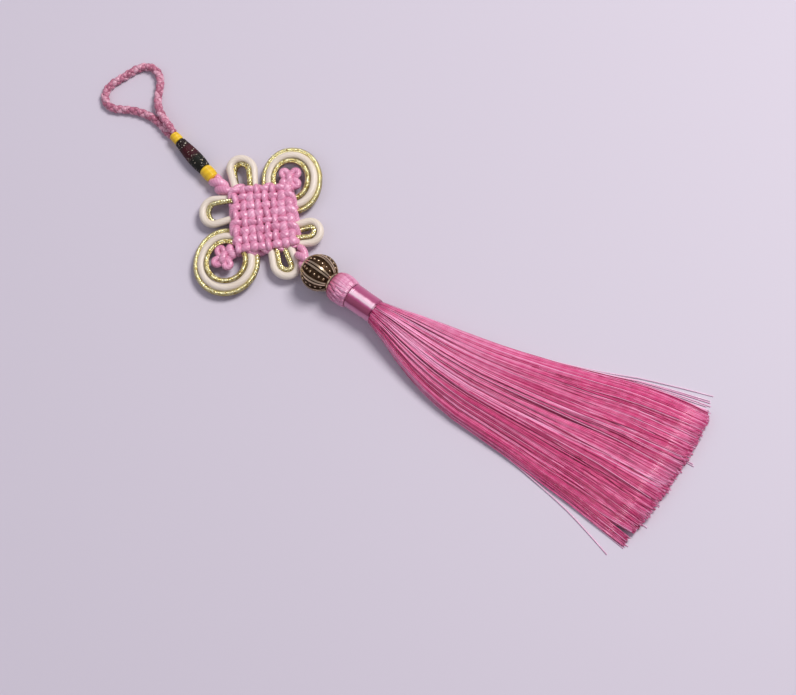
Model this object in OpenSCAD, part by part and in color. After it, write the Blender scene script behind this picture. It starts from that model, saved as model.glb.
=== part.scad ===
// Knotted cord ornament with a bead and a tassel, lying flat on a table.
// +Y runs to the hanging loop, -Y to the cut ends of the tassel, +Z is up.

/* [Knot] */
// distance from one woven cord to the next
pitch = 2.2; // [1.8:0.05:2.8]
// woven cords each way
cells = 8; // [4:2:12]
// thickness through both woven layers
knot_t = 5.2; // [4:0.1:7]
// diameter of one cord in the twisted pairs
pair_d = 1.7; // [1.4:0.1:2.2]
// length of the twisted pair between the knot and the wraps
neck_len = 6.5; // [3:0.1:9]
// how far the knot's lower corner lies along the tassel's axis from the bead's end
link_along = 6; // [4:0.1:9]
// how far the knot's lower corner lies to the side of the tassel's axis
link_aside = 3.1; // [0:0.1:4]
// angle that the knot turns towards +X
knot_turn = 4; // [0:0.5:15]
// angle that the wraps turn towards +X
wrap_turn = 12; // [0:0.5:20]

/* [Petals] */
// diameter of the cream cord
cream_d = 2.1; // [1.6:0.1:2.6]
// diameter of the gold cord
gold_d = 1.1; // [0.8:0.1:1.6]
// how far a small petal reaches from the knot
small_out = 9; // [6:0.1:12]
// outside width of a small petal
small_w = 8.7; // [6:0.1:11]
// radius of a big petal's outer gold cord
big_r = 9; // [7:0.1:11]

/* [Corner flowers] */
// radius of the ring that the lobes stand on
flower_r = 2.35; // [1.8:0.05:3]
// diameter of one lobe
lobe_d = 2.5; // [2:0.1:3]

/* [Thread wraps] */
// diameter of the yellow wrap next to the knot
low_wrap_d = 3.6; // [3:0.1:5]
// length of the yellow wrap next to the knot
low_wrap_len = 3.8; // [2:0.1:6]
// largest diameter of the dark wrap
dark_wrap_d = 4.4; // [3:0.1:6]
// length of the dark wrap
dark_wrap_len = 11.5; // [8:0.1:18]
// diameter of the yellow wrap next to the loop
top_wrap_d = 3; // [2.4:0.1:4]
// length of the yellow wrap next to the loop
top_wrap_len = 2.8; // [2:0.1:5]

/* [Loop] */
// diameter of the braided loop cord
loop_d = 2.2; // [1.6:0.1:3]

/* [Bead] */
// outside diameter over the ribs
bead_d = 10.4; // [8:0.1:14]
// diameter of the hole
bore_d = 3.8; // [2:0.1:5]
// number of double ribs and of stud rows
bead_ribs = 8; // [6:1:12]
// studs in each row
bead_studs = 6; // [3:1:9]

/* [Tassel] */
// largest diameter of the thread cap
cap_d = 8.7; // [7:0.1:11]
// length of the thread cap
cap_len = 6.2; // [4:0.1:10]
// diameter of the satin band next to the cap
band_d = 7.6; // [6:0.1:10]
// length of the satin band
band_len = 8.3; // [5:0.1:14]
// length of the skirt at its edges
skirt_len = 90; // [60:1:120]
// width of the skirt at the cut
skirt_w = 42.5; // [25:0.5:60]
// how much further the middle of the cut reaches than its edges
skirt_bow = 2; // [0:0.5:10]
// angle that the skirt swings towards +X
skirt_swing = 6; // [0:0.5:15]

/* [Hidden] */
seam = 0.1;
pair_gap = 0.6;
wrap_gap = 0.7;
corner_gap = 0.8;
bead_seat = 0.5;
cap_seat = 0.3;
link_lean = 18;
// Shift of the link pair's upper end from the knot's corner, and of the neck
// pair's lower end.
link_end = [0.17, -0.25];
neck_start = [-0.5, 1.42];
side = cells * pitch;
corner = side / sqrt(2);
knot_z = knot_t / 2;
edge_bulge = 0.9;
leg_start = edge_bulge + 0.35;
mesh_step = 4;

// Place of the bead's centre. It puts the middle of the outline, without the
// hanging loop, at the origin.
bead_x = -4.62;
bead_y = 25.1;

// Weave relief: half height of a cord and the rise of its wave.
cord_rise = 0.85;
wave_rise = 0.45;
layer_z = knot_z - cord_rise - wave_rise;

// Places along the wraps from the end of the neck.
low_wrap_y = wrap_gap;
dark_wrap_y = low_wrap_y + low_wrap_len + seam;
top_wrap_y = dark_wrap_y + dark_wrap_len + seam;
loop_y = top_wrap_y + top_wrap_len;

// Places along the tassel's axis from the bead's centre.
link_y = bead_d / 2 - bead_seat;
cap_y = -bead_d / 2 + cap_seat;
band_y = cap_y - cap_len - seam;
skirt_y = band_y - band_len - seam;

wrap_z = dark_wrap_d / 2;
bead_z = bead_d / 2;
cap_z = cap_d / 2 + 0.1;
band_z = 4.3;
thread_d = 0.42;

// The cords pull the knot a little out of square.
// rows: end, right, left and bead corner; columns: shift to the right, shift towards the wraps
corner_pull = [[1, 1.5], [-0.2, 1.1], [-0.3, -0.4], [0.1, -0.2]];

// Small petals: side of the knot, place along it from the knot's end corner,
// reach, half the distance between the legs where they enter the knot, radius
// of the crest and how far the crest leans along the side.
// columns: turn, mirrored, along, out, base, crest, lean
crest_r = (small_w - cream_d) / 2;
small_petals = [
    [-45, 0, 3.95, small_out + 1, 2.6, crest_r + 0.1, -0.6],
    [45, 1, 5.3, small_out + 0.7, 2.5, crest_r - 0.1, 0.3],
    [135, 0, 5.1, small_out + 0.2, 2.6, crest_r - 0.1, -1.1],
    [-135, 1, 3.6, small_out - 1.5, 2.5, crest_r - 0.25, 0.2]
];
crest_steps = 12;
gold_inset = 1.44;
gold_lift = -0.92;

// Big petals: turn of the knot's corner, centre of the outer ring measured
// from that corner, the ring's radius, and how much further out its two ends
// stop where the pulled side lies further out.
// columns: turn, x, y, radius, further x, further y
big_petals = [
    [135, 2.8, 2, big_r, 0.2, 0],
    [-45, -0.1, 1.7, big_r - 0.3, 0.5, 0.5]
];
// Their cords: how far the ring's centre moves towards the knot on both
// axes, how much smaller its radius is, its height and the cord's diameter.
// columns: shift, smaller, lift, diameter
outer_gold = [0, 0, -0.75, gold_d];
big_cream = [0, 1.5, 0, cream_d];
inner_gold = [0.15, 3, 1.12, gold_d];

// Corner flowers: turn of the knot's corner, centre measured from that
// corner, and turn of the lobes. The stem is where the fourth lobe would be.
// columns: turn, x, y, spin, stem x, stem y
flowers = [
    [135, 3.35, 0.5, 25, 1.2, 0.75],
    [-45, 0.2, 2.5, 42, 0.75, 1.2]
];

// Skirt sections along its middle line. The bow is the share of skirt_bow.
// columns: distance share, half width share, middle shift, bottom, top, flatness, bow share
skirt_rows = [
    [0, 0.157, 0, 0.85, 7.5, 0, 0],
    [0.03, 0.185, 0, 0.45, 7.7, 0.1, 0],
    [0.07, 0.245, -0.3, 0.1, 7.2, 0.25, 0.02],
    [0.12, 0.32, -0.8, 0, 6.4, 0.4, 0.05],
    [0.19, 0.4, -1.6, 0, 5.7, 0.55, 0.1],
    [0.27, 0.475, -2.3, 0, 5.1, 0.7, 0.17],
    [0.36, 0.54, -2.5, 0, 4.6, 0.8, 0.25],
    [0.46, 0.6, -2.1, 0, 4.2, 0.9, 0.36],
    [0.57, 0.675, -1.5, 0, 3.8, 1, 0.48],
    [0.68, 0.765, -0.9, 0, 3.4, 1, 0.62],
    [0.79, 0.86, -0.1, 0, 3.1, 1, 0.76],
    [0.9, 0.94, 0, 0, 2.8, 1, 0.9],
    [1, 1, 0, 0, 2.5, 1, 1]
];
skirt_points = 24;
skirt_bend = 0.12;

// Loop cord route: out of the upper wrap on top of its own other end, round
// the open loop and back. Y is measured from the wrap.
// columns: x, y, z
loop_route = [
    [0.65, 0, 2.9], [0.65, 1.6, 2.9], [0.8, 3.6, 2.9], [1.15, 6.2, 2.78],
    [1.7, 8.6, 2.4], [2.7, 10.8, 1.8], [4.1, 12.7, 1.3], [5.8, 14.3, 1.1],
    [7.4, 15.9, 1.1], [8.5, 17.8, 1.1], [8.8, 19.9, 1.1], [8.1, 21.9, 1.1],
    [6.6, 23.3, 1.1], [4.6, 24.1, 1.1], [2.4, 24.5, 1.1], [0.2, 24.9, 1.1],
    [-2, 25.3, 1.1], [-4.2, 25.3, 1.1], [-6.2, 24.5, 1.1], [-7.5, 22.9, 1.1],
    [-7.9, 20.9, 1.1], [-7.2, 18.9, 1.1], [-5.9, 17.3, 1.1], [-4.5, 15.7, 1.1],
    [-3.2, 13.9, 1.1], [-2.1, 11.9, 1.1], [-1.25, 9.8, 1.1], [-0.7, 7.5, 1.1],
    [-0.5, 5, 1.1], [-0.65, 2.4, 1.1], [-0.65, 0, 1.1]
];

function unit(v) = v / norm(v);
function clamp(v, low, high) = max(low, min(high, v));
function ease(t) = t * t * (3 - 2 * t);

// Closed mesh through rings that all have n points, numbered so that point
// j and point n-j lie opposite each other across the ring.
function ring_faces(count, n) = [
    for (i = [0:count - 2]) for (j = [0:n - 1])
        let (a = i * n + j, b = i * n + (j + 1) % n, c = a + n, d = b + n)
            each [[a, b, d], [a, d, c]]
];

function cap_faces(first, n, flip) = [
    for (j = [0:n / 2 - 1])
        let (a = first + j, b = first + j + 1, c = first + (n - j) % n, d = first + n - j - 1)
            each [
                if (b != d) flip ? [b, d, a] : [a, d, b],
                if (j > 0) flip ? [a, d, c] : [c, d, a]
            ]
];

module ring_mesh(rings) {
    n = len(rings[0]);
    polyhedron(
        points = [for (ring = rings) each ring],
        faces = concat(ring_faces(len(rings), n), cap_faces(0, n, false),
            cap_faces((len(rings) - 1) * n, n, true)),
        convexity = 8
    );
}

// Round cord along a route.
module cord(route, d, sides = 8) {
    last = len(route) - 1;
    ring_mesh([
        for (i = [0:last])
            let (
                along = unit(route[min(i + 1, last)] - route[max(i - 1, 0)]),
                across = unit(cross(along, [0, 0, 1])),
                up = cross(across, along)
            )
                [for (j = [0:sides - 1])
                    route[i] + d / 2 * (across * cos(360 * j / sides) + up * sin(360 * j / sides))]
    ]);
}

// Two cords twisted round a route, whose points are evenly spaced.
module twisted_pair(route, turns) {
    last = len(route) - 1;
    for (phase = [0, 180])
        cord([
            for (i = [0:last])
                let (
                    along = unit(route[min(i + 1, last)] - route[max(i - 1, 0)]),
                    across = unit(cross(along, [0, 0, 1])),
                    up = cross(across, along),
                    angle = phase + 360 * turns * i / last
                )
                    route[i] + (pair_d / 2 + 0.03) * (across * cos(angle) + up * sin(angle))
        ], pair_d);
}

// Whipping of fine thread: a core whose outline bulges at every turn.
module thread_wrap(length, radii) {
    turns = round(length / thread_d);
    steps = turns * 3;
    last = len(radii) - 1;
    outline = [
        for (i = [0:steps])
            let (
                t = i / steps,
                at = clamp(floor(t * last), 0, last - 1),
                base = radii[at] + (radii[at + 1] - radii[at]) * (t * last - at),
                ridge = i % 3 == 0 ? -0.07 : 0
            )
                [base + ridge, length * t]
    ];
    rotate([-90, 0, 0])
        rotate_extrude($fn = 48)
            polygon(concat([[0, 0]], outline, [[0, length]]));
}

// Part of a ring of cord in the XY plane.
module ring_part(path_r, d, from, to) {
    rotate([0, 0, from])
        rotate_extrude(angle = to - from, $fn = 64)
            translate([path_r, 0])
                circle(d = d, $fn = 32);
}

module straight_cord(from, to, d) {
    run = to - from;
    translate([from[0], from[1], 0])
        rotate([0, 0, atan2(run[1], run[0])])
            rotate([0, 90, 0])
                cylinder(d = d, h = norm(run), $fn = 32);
}

// Shift of a place in the knot's frame, where Y runs along its diagonal.
function pull_at(p) =
    let (
        s = clamp((p[0] + p[1]) / corner, -1, 1),
        t = clamp((p[1] - p[0]) / corner, -1, 1)
    )
        ((1 + s) * (1 + t) * corner_pull[0] + (1 + s) * (1 - t) * corner_pull[1]
        + (1 - s) * (1 + t) * corner_pull[2] + (1 - s) * (1 - t) * corner_pull[3]) / 4;

// Point of the square weave, turned on its corner and pulled.
function pulled(p) =
    let (q = [p[0] - p[1], p[0] + p[1]] / sqrt(2), shift = pull_at(q))
        [q[0] + shift[0], q[1] + shift[1], p[2]];

function turned(p, a) = [p[0] * cos(a) - p[1] * sin(a), p[0] * sin(a) + p[1] * cos(a)];

// Puts its children on one side of the knot: x along it from the knot's end
// corner, y outwards. The side is pulled as at the given place along it.
module on_side(turn, mirrored, along) {
    shift = pull_at(turned([(mirrored == 1 ? -1 : 1) * (along - side / 2), side / 2], turn));
    translate([shift[0], shift[1], knot_z])
        rotate([0, 0, turn])
            mirror([mirrored, 0, 0])
                translate([-side / 2, side / 2, 0])
                    children();
}

// Puts its children at a side corner, with both outward directions as x and y.
module at_corner(turn) {
    shift = pull_at(turned([side / 2, side / 2], turn));
    translate([shift[0], shift[1], knot_z])
        rotate([0, 0, turn])
            translate([side / 2, side / 2, 0])
                children();
}

// Origin under the bead's centre, Y up the tassel's axis.
module at_bead() {
    translate([bead_x, bead_y, 0])
        children();
}

// Origin under the knot's centre, Y along the knot's diagonal.
module at_knot() {
    at_bead()
        translate([link_aside, link_y + link_along, 0])
            rotate([0, 0, -knot_turn])
                translate([0, corner, 0])
                    children();
}

// Origin under the end of the neck, Y along the wraps.
module at_wraps() {
    at_knot()
        translate([0, corner + corner_gap + neck_len, 0])
            rotate([0, 0, knot_turn - wrap_turn])
                children();
}

// Knot body
function cord_top(across, along, parity) =
    layer_z + (parity == 0 ? 1 : -1) * wave_rise * cos(180 * along / pitch)
    + cord_rise * sqrt(max(0, 1 - pow(across / (pitch * 0.51), 2)));

function weave_top(a, b) =
    let (
        i = clamp(floor((a + side / 2) / pitch), 0, cells - 1),
        j = clamp(floor((b + side / 2) / pitch), 0, cells - 1),
        to_a = a + side / 2 - (i + 0.5) * pitch,
        to_b = b + side / 2 - (j + 0.5) * pitch,
        parity = (i + j) % 2
    )
        max(cord_top(to_a, to_b, parity), cord_top(to_b, to_a, 1 - parity));

function rim_place(k, n) =
    k < n ? [k, 0] : k < 2 * n ? [n, k - n] : k < 3 * n ? [3 * n - k, n] : [0, 4 * n - k];

function rim_normal(k, n) =
    k % n == 0 ? unit([k == 0 || k == 3 * n ? -1 : 1, k < 2 * n ? -1 : 1])
    : k < n ? [0, -1] : k < 2 * n ? [1, 0] : k < 3 * n ? [0, 1] : [-1, 0];

function rim_bulge(k, n) =
    k % n == 0 ? 0.3 : edge_bulge * [0.2, 0.8, 1, 0.8][k % mesh_step];

module knot_body() {
    n = cells * mesh_step;
    step = pitch / mesh_step;
    face_size = (n + 1) * (n + 1);
    front = [for (j = [0:n]) for (i = [0:n])
        let (a = i * step - side / 2, b = j * step - side / 2)
            [a, b, weave_top(a, b)]];
    back = [for (p = front) [p[0], p[1], -weave_top(-p[0], p[1])]];
    rim = [for (level = [0.42, -0.42]) for (k = [0:4 * n - 1])
        let (
            at = rim_place(k, n),
            p = front[at[1] * (n + 1) + at[0]],
            away = rim_normal(k, n) * rim_bulge(k, n)
        )
            [p[0] + away[0], p[1] + away[1], level * knot_z]];
    sheet = [for (j = [0:n - 1]) for (i = [0:n - 1])
        let (a = j * (n + 1) + i, b = a + 1, c = a + n + 1, d = c + 1)
            each (i + j) % 2 == 0 ? [[a, c, d], [a, d, b]] : [[a, c, b], [b, c, d]]];
    edge = [for (k = [0:4 * n - 1])
        let (
            next = (k + 1) % (4 * n),
            p = rim_place(k, n),
            q = rim_place(next, n),
            f1 = p[1] * (n + 1) + p[0],
            f2 = q[1] * (n + 1) + q[0],
            r1 = 2 * face_size + k,
            r2 = 2 * face_size + next,
            s1 = r1 + 4 * n,
            s2 = r2 + 4 * n
        )
            each [
                [f1, f2, r2], [f1, r2, r1], [r1, r2, s2], [r1, s2, s1],
                [s1, s2, f2 + face_size], [s1, f2 + face_size, f1 + face_size]
            ]];
    color([0.87, 0.51, 0.67])
        at_knot()
            translate([0, 0, knot_z])
                polyhedron(
                    points = [for (p = concat(front, back, rim)) pulled(p)],
                    faces = concat(sheet,
                        [for (f = sheet) [f[2] + face_size, f[1] + face_size, f[0] + face_size]],
                        edge),
                    convexity = 10
                );
}

module neck_cords() {
    start_y = corner + corner_gap;
    steps = 10;
    color([0.87, 0.51, 0.67])
        at_knot()
            twisted_pair([
                for (i = [0:steps])
                    let (t = i / steps, rest = 1 - ease(t))
                        [neck_start[0] * rest, start_y + neck_len * t + neck_start[1] * rest,
                            knot_z * rest + wrap_z * (1 - rest)]
            ], 0.75);
}

// The pair runs straight through the bead, then bends over to the knot's corner.
module link_cords() {
    steps_in = 9;
    steps_out = 9;
    foot_y = cap_y + pair_gap;
    end = [link_aside + link_end[0], link_y + link_along + link_end[1], 0]
        - corner_gap * [sin(link_lean), cos(link_lean), 0];
    color([0.87, 0.51, 0.67])
        at_bead()
            twisted_pair(concat(
                [for (i = [0:steps_in - 1]) [0, foot_y + (link_y - foot_y) * i / steps_in, bead_z]],
                [for (i = [0:steps_out])
                    let (
                        t = i / steps_out,
                        reach = (end[1] - link_y) * 0.45,
                        b0 = pow(1 - t, 3),
                        b1 = 3 * pow(1 - t, 2) * t,
                        b2 = 3 * (1 - t) * t * t,
                        b3 = pow(t, 3)
                    )
                        [(b2 + b3) * end[0] - b2 * reach * sin(link_lean),
                            b0 * link_y + b1 * (link_y + reach) + b2 * (end[1] - reach * cos(link_lean)) + b3 * end[1],
                            bead_z + (knot_z - bead_z) * ease(t)]]
            ), 1.75);
}

// Corner flowers
module corner_flower(row) {
    color([0.87, 0.51, 0.67])
        at_knot()
            at_corner(row[0]) {
                translate([row[1], row[2], 0]) {
                    sphere(d = lobe_d + 0.2, $fn = 32);
                    for (a = [-90, 0, 90])
                        rotate([0, 0, row[3] + a])
                            translate([flower_r, 0, 0])
                                sphere(d = lobe_d, $fn = 32);
                }
                straight_cord([row[4], row[5]], [row[1], row[2]], pair_d + 0.3);
            }
}

// Petals
// Round crest of radius r about the origin, and two legs that run from it to
// base and to its mirror image.
function petal_route(r, base) =
    let (
        start = atan2(base[1], base[0]) + acos(r / norm(base)),
        sweep = 180 - 2 * start,
        touch = r * [cos(start), sin(start)],
        crest = [for (i = [0:crest_steps]) let (a = start + sweep * i / crest_steps) r * [cos(a), sin(a)]],
        leg = [base, (base + touch) / 2]
    )
        [for (p = concat(leg, crest, [[-leg[1][0], leg[1][1]], [-base[0], base[1]]])) [p[0], p[1], 0]];

module small_petal(row, inset, d, lift, sides) {
    centre = row[3] - cream_d / 2 - row[5];
    route = petal_route(row[5] - inset, [row[4] - inset, leg_start - centre]);
    at_knot()
        on_side(row[0], row[1], row[2])
            translate([row[2], centre, lift])
                cord([for (p = route) [p[0] + row[6] * clamp(p[1] / centre + 1, 0, 1.6), p[1], p[2]]], d, sides);
}

module small_petal_cream(i) {
    color([0.93, 0.88, 0.83])
        small_petal(small_petals[i], 0, cream_d, 0, 10);
}

module small_petal_gold(i) {
    color([0.75, 0.67, 0.27])
        small_petal(small_petals[i], gold_inset, gold_d, gold_lift, 8);
}

module big_petal(petal, cord_row) {
    x = petal[1] - cord_row[0];
    y = petal[2] - cord_row[0];
    r = petal[3] - cord_row[1];
    at_knot()
        at_corner(petal[0])
            translate([x, y, cord_row[2]])
                ring_part(r, cord_row[3], -acos((leg_start + petal[4] - x) / r),
                    90 + acos((leg_start + petal[5] - y) / r));
}

// Wraps, from the knot to the loop
module lower_yellow_wrap() {
    r = low_wrap_d / 2;
    color([0.94, 0.8, 0.2])
        at_wraps()
            translate([0, low_wrap_y, wrap_z])
                thread_wrap(low_wrap_len, [r * 0.9, r, r, r * 0.96]);
}

module dark_wrap() {
    r = dark_wrap_d / 2;
    color([0.16, 0.09, 0.09])
        at_wraps()
            translate([0, dark_wrap_y, wrap_z])
                thread_wrap(dark_wrap_len, [r * 0.9, r * 0.98, r, r * 0.97, r * 0.9, r * 0.8, r * 0.72]);
}

module upper_yellow_wrap() {
    r = top_wrap_d / 2;
    color([0.94, 0.8, 0.2])
        at_wraps()
            translate([0, top_wrap_y, wrap_z])
                thread_wrap(top_wrap_len, [r, r, r * 0.94]);
}

module hanging_loop() {
    color([0.8, 0.5, 0.6])
        at_wraps()
            cord([for (p = loop_route) p + [0, loop_y, 0]], loop_d);
}

// Bead
module bead_shell(outer, inner, reach) {
    intersection() {
        difference() {
            circle(r = outer, $fn = 96);
            circle(r = inner, $fn = 96);
        }
        translate([0, -reach])
            square([outer, 2 * reach]);
    }
}

module bronze_bead() {
    rib_r = bead_d / 2;
    ground_r = rib_r - 0.4;
    stud_r = 0.36;
    rib_angle = 6;
    spacing = 360 / bead_ribs;
    color([0.47, 0.37, 0.27])
        at_bead()
            translate([0, 0, bead_z])
                rotate([90, 0, 0])
                    difference() {
                        union() {
                            sphere(r = ground_r, $fn = 96);
                            for (i = [0:bead_ribs - 1])
                                for (edge = [-1, 1])
                                    rotate([0, 0, spacing * i + edge * rib_angle * 0.85 - rib_angle / 2])
                                        rotate_extrude(angle = rib_angle, $fn = 96)
                                            bead_shell(rib_r, ground_r - 0.3, rib_r * 0.82);
                            for (i = [0:bead_ribs - 1])
                                for (k = [0:bead_studs - 1])
                                    rotate([0, 0, spacing * (i + 0.5)])
                                        rotate([0, (k - (bead_studs - 1) / 2) * 17, 0])
                                            translate([ground_r, 0, 0])
                                                sphere(r = stud_r, $fn = 24);
                            for (end = [-1, 1])
                                translate([0, 0, end * (rib_r - 0.75) - 0.25])
                                    cylinder(d = bore_d + 1.3, h = 0.5, $fn = 64);
                        }
                        cylinder(d = bore_d, h = bead_d * 1.2, center = true, $fn = 64);
                    }
}

// Tassel
module tassel_cap() {
    r = cap_d / 2;
    shape = [[0, 0.74], [0.06, 0.84], [0.16, 0.93], [0.3, 0.99], [0.45, 1], [0.62, 0.985], [0.8, 0.95],
        [0.92, 0.91], [1, 0.86]];
    color([0.86, 0.48, 0.66])
        at_bead()
            translate([0, cap_y, cap_z])
                rotate([90, 0, 0])
                    rotate_extrude($fn = 64)
                        polygon(concat([[0, 0]], [for (p = shape) [r * p[1], cap_len * p[0]]], [[0, cap_len]]));
}

module satin_band() {
    color([0.9, 0.58, 0.72])
        at_bead()
            translate([0, band_y, band_z])
                rotate([90, 0, 0]) {
                    cylinder(d1 = band_d - 0.4, d2 = band_d - 0.7, h = band_len, $fn = 64);
                    rotate([0, 0, 20])
                        rotate_extrude(angle = 250, $fn = 64)
                            polygon([[2, 0], [band_d / 2, 0], [band_d / 2 - 0.15, band_len - 0.5],
                                [2, band_len - 0.5]]);
                }
}

// The skirt's middle line bends towards +X over its first part, then runs
// straight. It gives the place and the angle at distance s.
function skirt_line(s) =
    let (
        swing = max(skirt_swing, 0.01),
        bend_len = skirt_bend * skirt_len,
        radius = bend_len * 180 / (PI * swing),
        angle = swing * min(1, s / bend_len),
        rest = max(0, s - bend_len)
    )
        [radius * (1 - cos(angle)) + rest * sin(angle), -radius * sin(angle) - rest * cos(angle), angle];

function skirt_section(row) =
    let (
        at = skirt_line(row[0] * skirt_len),
        half_w = row[1] * skirt_w / 2,
        wide_z = row[3] + (row[4] - row[3]) * (0.5 - 0.25 * row[5])
    )
        [for (j = [0:skirt_points - 1])
            let (
                c = cos(360 * j / skirt_points),
                s = sin(360 * j / skirt_points),
                across = row[2] - half_w * c,
                ahead = row[6] * skirt_bow * s * s,
                z = j <= skirt_points / 2
                    ? wide_z + (row[4] - wide_z) * pow(abs(s), 1 - 0.3 * row[5])
                    : wide_z - (wide_z - row[3]) * pow(abs(s), 1 - 0.6 * row[5])
            )
                [at[0] + across * cos(at[2]) + ahead * sin(at[2]),
                    at[1] + across * sin(at[2]) - ahead * cos(at[2]), z]];

module tassel_skirt() {
    color([0.84, 0.41, 0.6])
        at_bead()
            translate([0, skirt_y, 0])
                ring_mesh([for (row = skirt_rows) skirt_section(row)]);
}

hanging_loop();
upper_yellow_wrap();
dark_wrap();
lower_yellow_wrap();
neck_cords();
knot_body();
corner_flower(flowers[0]);  // left_flower
corner_flower(flowers[1]);  // right_flower
small_petal_cream(0);  // small_petal_cream_1
small_petal_cream(1);  // small_petal_cream_2
small_petal_cream(2);  // small_petal_cream_3
small_petal_cream(3);  // small_petal_cream_4
small_petal_gold(0);  // small_petal_gold_1
small_petal_gold(1);  // small_petal_gold_2
small_petal_gold(2);  // small_petal_gold_3
small_petal_gold(3);  // small_petal_gold_4
color([0.75, 0.67, 0.27]) big_petal(big_petals[0], outer_gold);  // left_petal_outer_gold
color([0.93, 0.88, 0.83]) big_petal(big_petals[0], big_cream);  // left_petal_cream
color([0.75, 0.67, 0.27]) big_petal(big_petals[0], inner_gold);  // left_petal_inner_gold
color([0.75, 0.67, 0.27]) big_petal(big_petals[1], outer_gold);  // right_petal_outer_gold
color([0.93, 0.88, 0.83]) big_petal(big_petals[1], big_cream);  // right_petal_cream
color([0.75, 0.67, 0.27]) big_petal(big_petals[1], inner_gold);  // right_petal_inner_gold
link_cords();
bronze_bead();
tassel_cap();
satin_band();
tassel_skirt();
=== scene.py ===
import math
import bpy
import numpy as np
from mathutils import Matrix, Vector


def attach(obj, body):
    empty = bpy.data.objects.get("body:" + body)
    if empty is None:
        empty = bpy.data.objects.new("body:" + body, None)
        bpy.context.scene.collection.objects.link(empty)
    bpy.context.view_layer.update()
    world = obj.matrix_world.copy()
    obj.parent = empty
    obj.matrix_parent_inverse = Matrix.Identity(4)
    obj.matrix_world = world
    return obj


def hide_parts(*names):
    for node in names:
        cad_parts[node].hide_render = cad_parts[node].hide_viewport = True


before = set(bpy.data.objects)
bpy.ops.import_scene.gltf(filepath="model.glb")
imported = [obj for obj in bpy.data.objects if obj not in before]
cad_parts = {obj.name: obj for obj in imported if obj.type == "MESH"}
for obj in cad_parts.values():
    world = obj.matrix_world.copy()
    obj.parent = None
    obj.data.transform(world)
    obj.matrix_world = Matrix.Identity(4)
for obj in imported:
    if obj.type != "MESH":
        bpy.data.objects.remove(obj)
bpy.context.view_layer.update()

# Knotted cord ornament with a bead and a tassel, lying flat.
# Shapes are worked out in millimetres in the part's own frames and scaled when a mesh is made.

mm = 0.001
fullTurn = 2 * math.pi
layout = {
    "beadX": -4.62,         # bead centre on the table
    "beadY": 25.1,
    "beadZ": 5.2,
    "linkY": 4.7,           # end of the bead, from its centre
    "linkAside": 3.1,       # knot's lower corner, from the end of the bead
    "linkAlong": 6.0,
    "linkLean": 18.0,
    "knotTurn": -4.0,       # turns of the knot and of the wraps
    "wrapTurn": -12.0,
    "pitch": 2.2,
    "cells": 8,
    "knotZ": 2.6,
    "cornerGap": 0.8,
    "neckLen": 6.5,
    "wrapZ": 2.2,
    "wrapY": 0.7,           # start of the lower wrap, from the end of the neck
    "lowWrapLen": 3.8,
    "darkWrapLen": 11.5,
    "topWrapLen": 2.8,
    "seam": 0.1,
    "capY": -4.9,
    "capLen": 6.2,
    "bandLen": 8.3,
}
side = layout["pitch"] * layout["cells"]
corner = side / math.sqrt(2)
knotFoot = np.array([layout["linkAside"], layout["linkY"] + layout["linkAlong"], 0])
darkWrapY = layout["wrapY"] + layout["lowWrapLen"] + layout["seam"]
topWrapY = darkWrapY + layout["darkWrapLen"] + layout["seam"]
loopY = topWrapY + layout["topWrapLen"]
bandY = layout["capY"] - layout["capLen"] - layout["seam"]
skirtY = bandY - layout["bandLen"] - layout["seam"]


# Turns points about Z, in degrees.
def turned(points, degrees):
    points = np.asarray(points, float)
    c, s = math.cos(math.radians(degrees)), math.sin(math.radians(degrees))
    out = points.copy()
    out[..., 0] = points[..., 0] * c - points[..., 1] * s
    out[..., 1] = points[..., 0] * s + points[..., 1] * c
    return out


def atBead(points):
    return np.asarray(points, float) + [layout["beadX"], layout["beadY"], 0]


def atKnot(points):
    raised = np.asarray(points, float) + [0, corner, 0]
    return atBead(turned(raised, layout["knotTurn"]) + knotFoot)


# The cords pull the knot a little out of square. Shifts of its corners, right and towards the wraps.
pull = {"neck": (1.0, 1.5), "right": (-0.2, 1.1), "left": (-0.3, -0.4), "link": (0.1, -0.2)}


# Places points on the pulled knot, each moved by its share of the four corners' shifts.
def onKnot(points):
    out = np.array(points, float)
    s = np.clip((out[..., 0] + out[..., 1]) / corner, -1, 1)
    t = np.clip((out[..., 1] - out[..., 0]) / corner, -1, 1)
    shares = {"neck": (1 + s) * (1 + t), "right": (1 + s) * (1 - t),
              "left": (1 - s) * (1 + t), "link": (1 - s) * (1 - t)}
    for name, share in shares.items():
        out[..., 0] += pull[name][0] * share / 4
        out[..., 1] += pull[name][1] * share / 4
    return atKnot(out)


# Places points measured from the knot's right corner, or its left one, before it turns to a side.
def fromCorner(points, turn, aside=1, mirrored=False):
    placed = np.asarray(points, float) + [aside * side / 2, side / 2, 0]
    if mirrored:
        placed = placed * [-1, 1, 1]
    return onKnot(turned(placed, turn) + [0, 0, layout["knotZ"]])


def atWraps(points):
    bent = turned(points, layout["wrapTurn"] - layout["knotTurn"])
    return atKnot(bent + [0, corner + layout["cornerGap"] + layout["neckLen"], 0])


# Puts a camera, a light or a mesh into the scene.
def newObject(name, data):
    item = bpy.data.objects.new(name, data)
    bpy.context.scene.collection.objects.link(item)
    return item


# Camera
viewpoint = {
    "place": (-0.10836, -0.20264, 0.61072),
    "right": (0.60296, -0.78245, -0.15559),
    "up": (0.78279, 0.54265, 0.30458),
    "focalPixels": 2400,
    "pictureWidth": 796,
    "sensor": 36.0,
    "clip": (0.01, 20),
}


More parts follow.
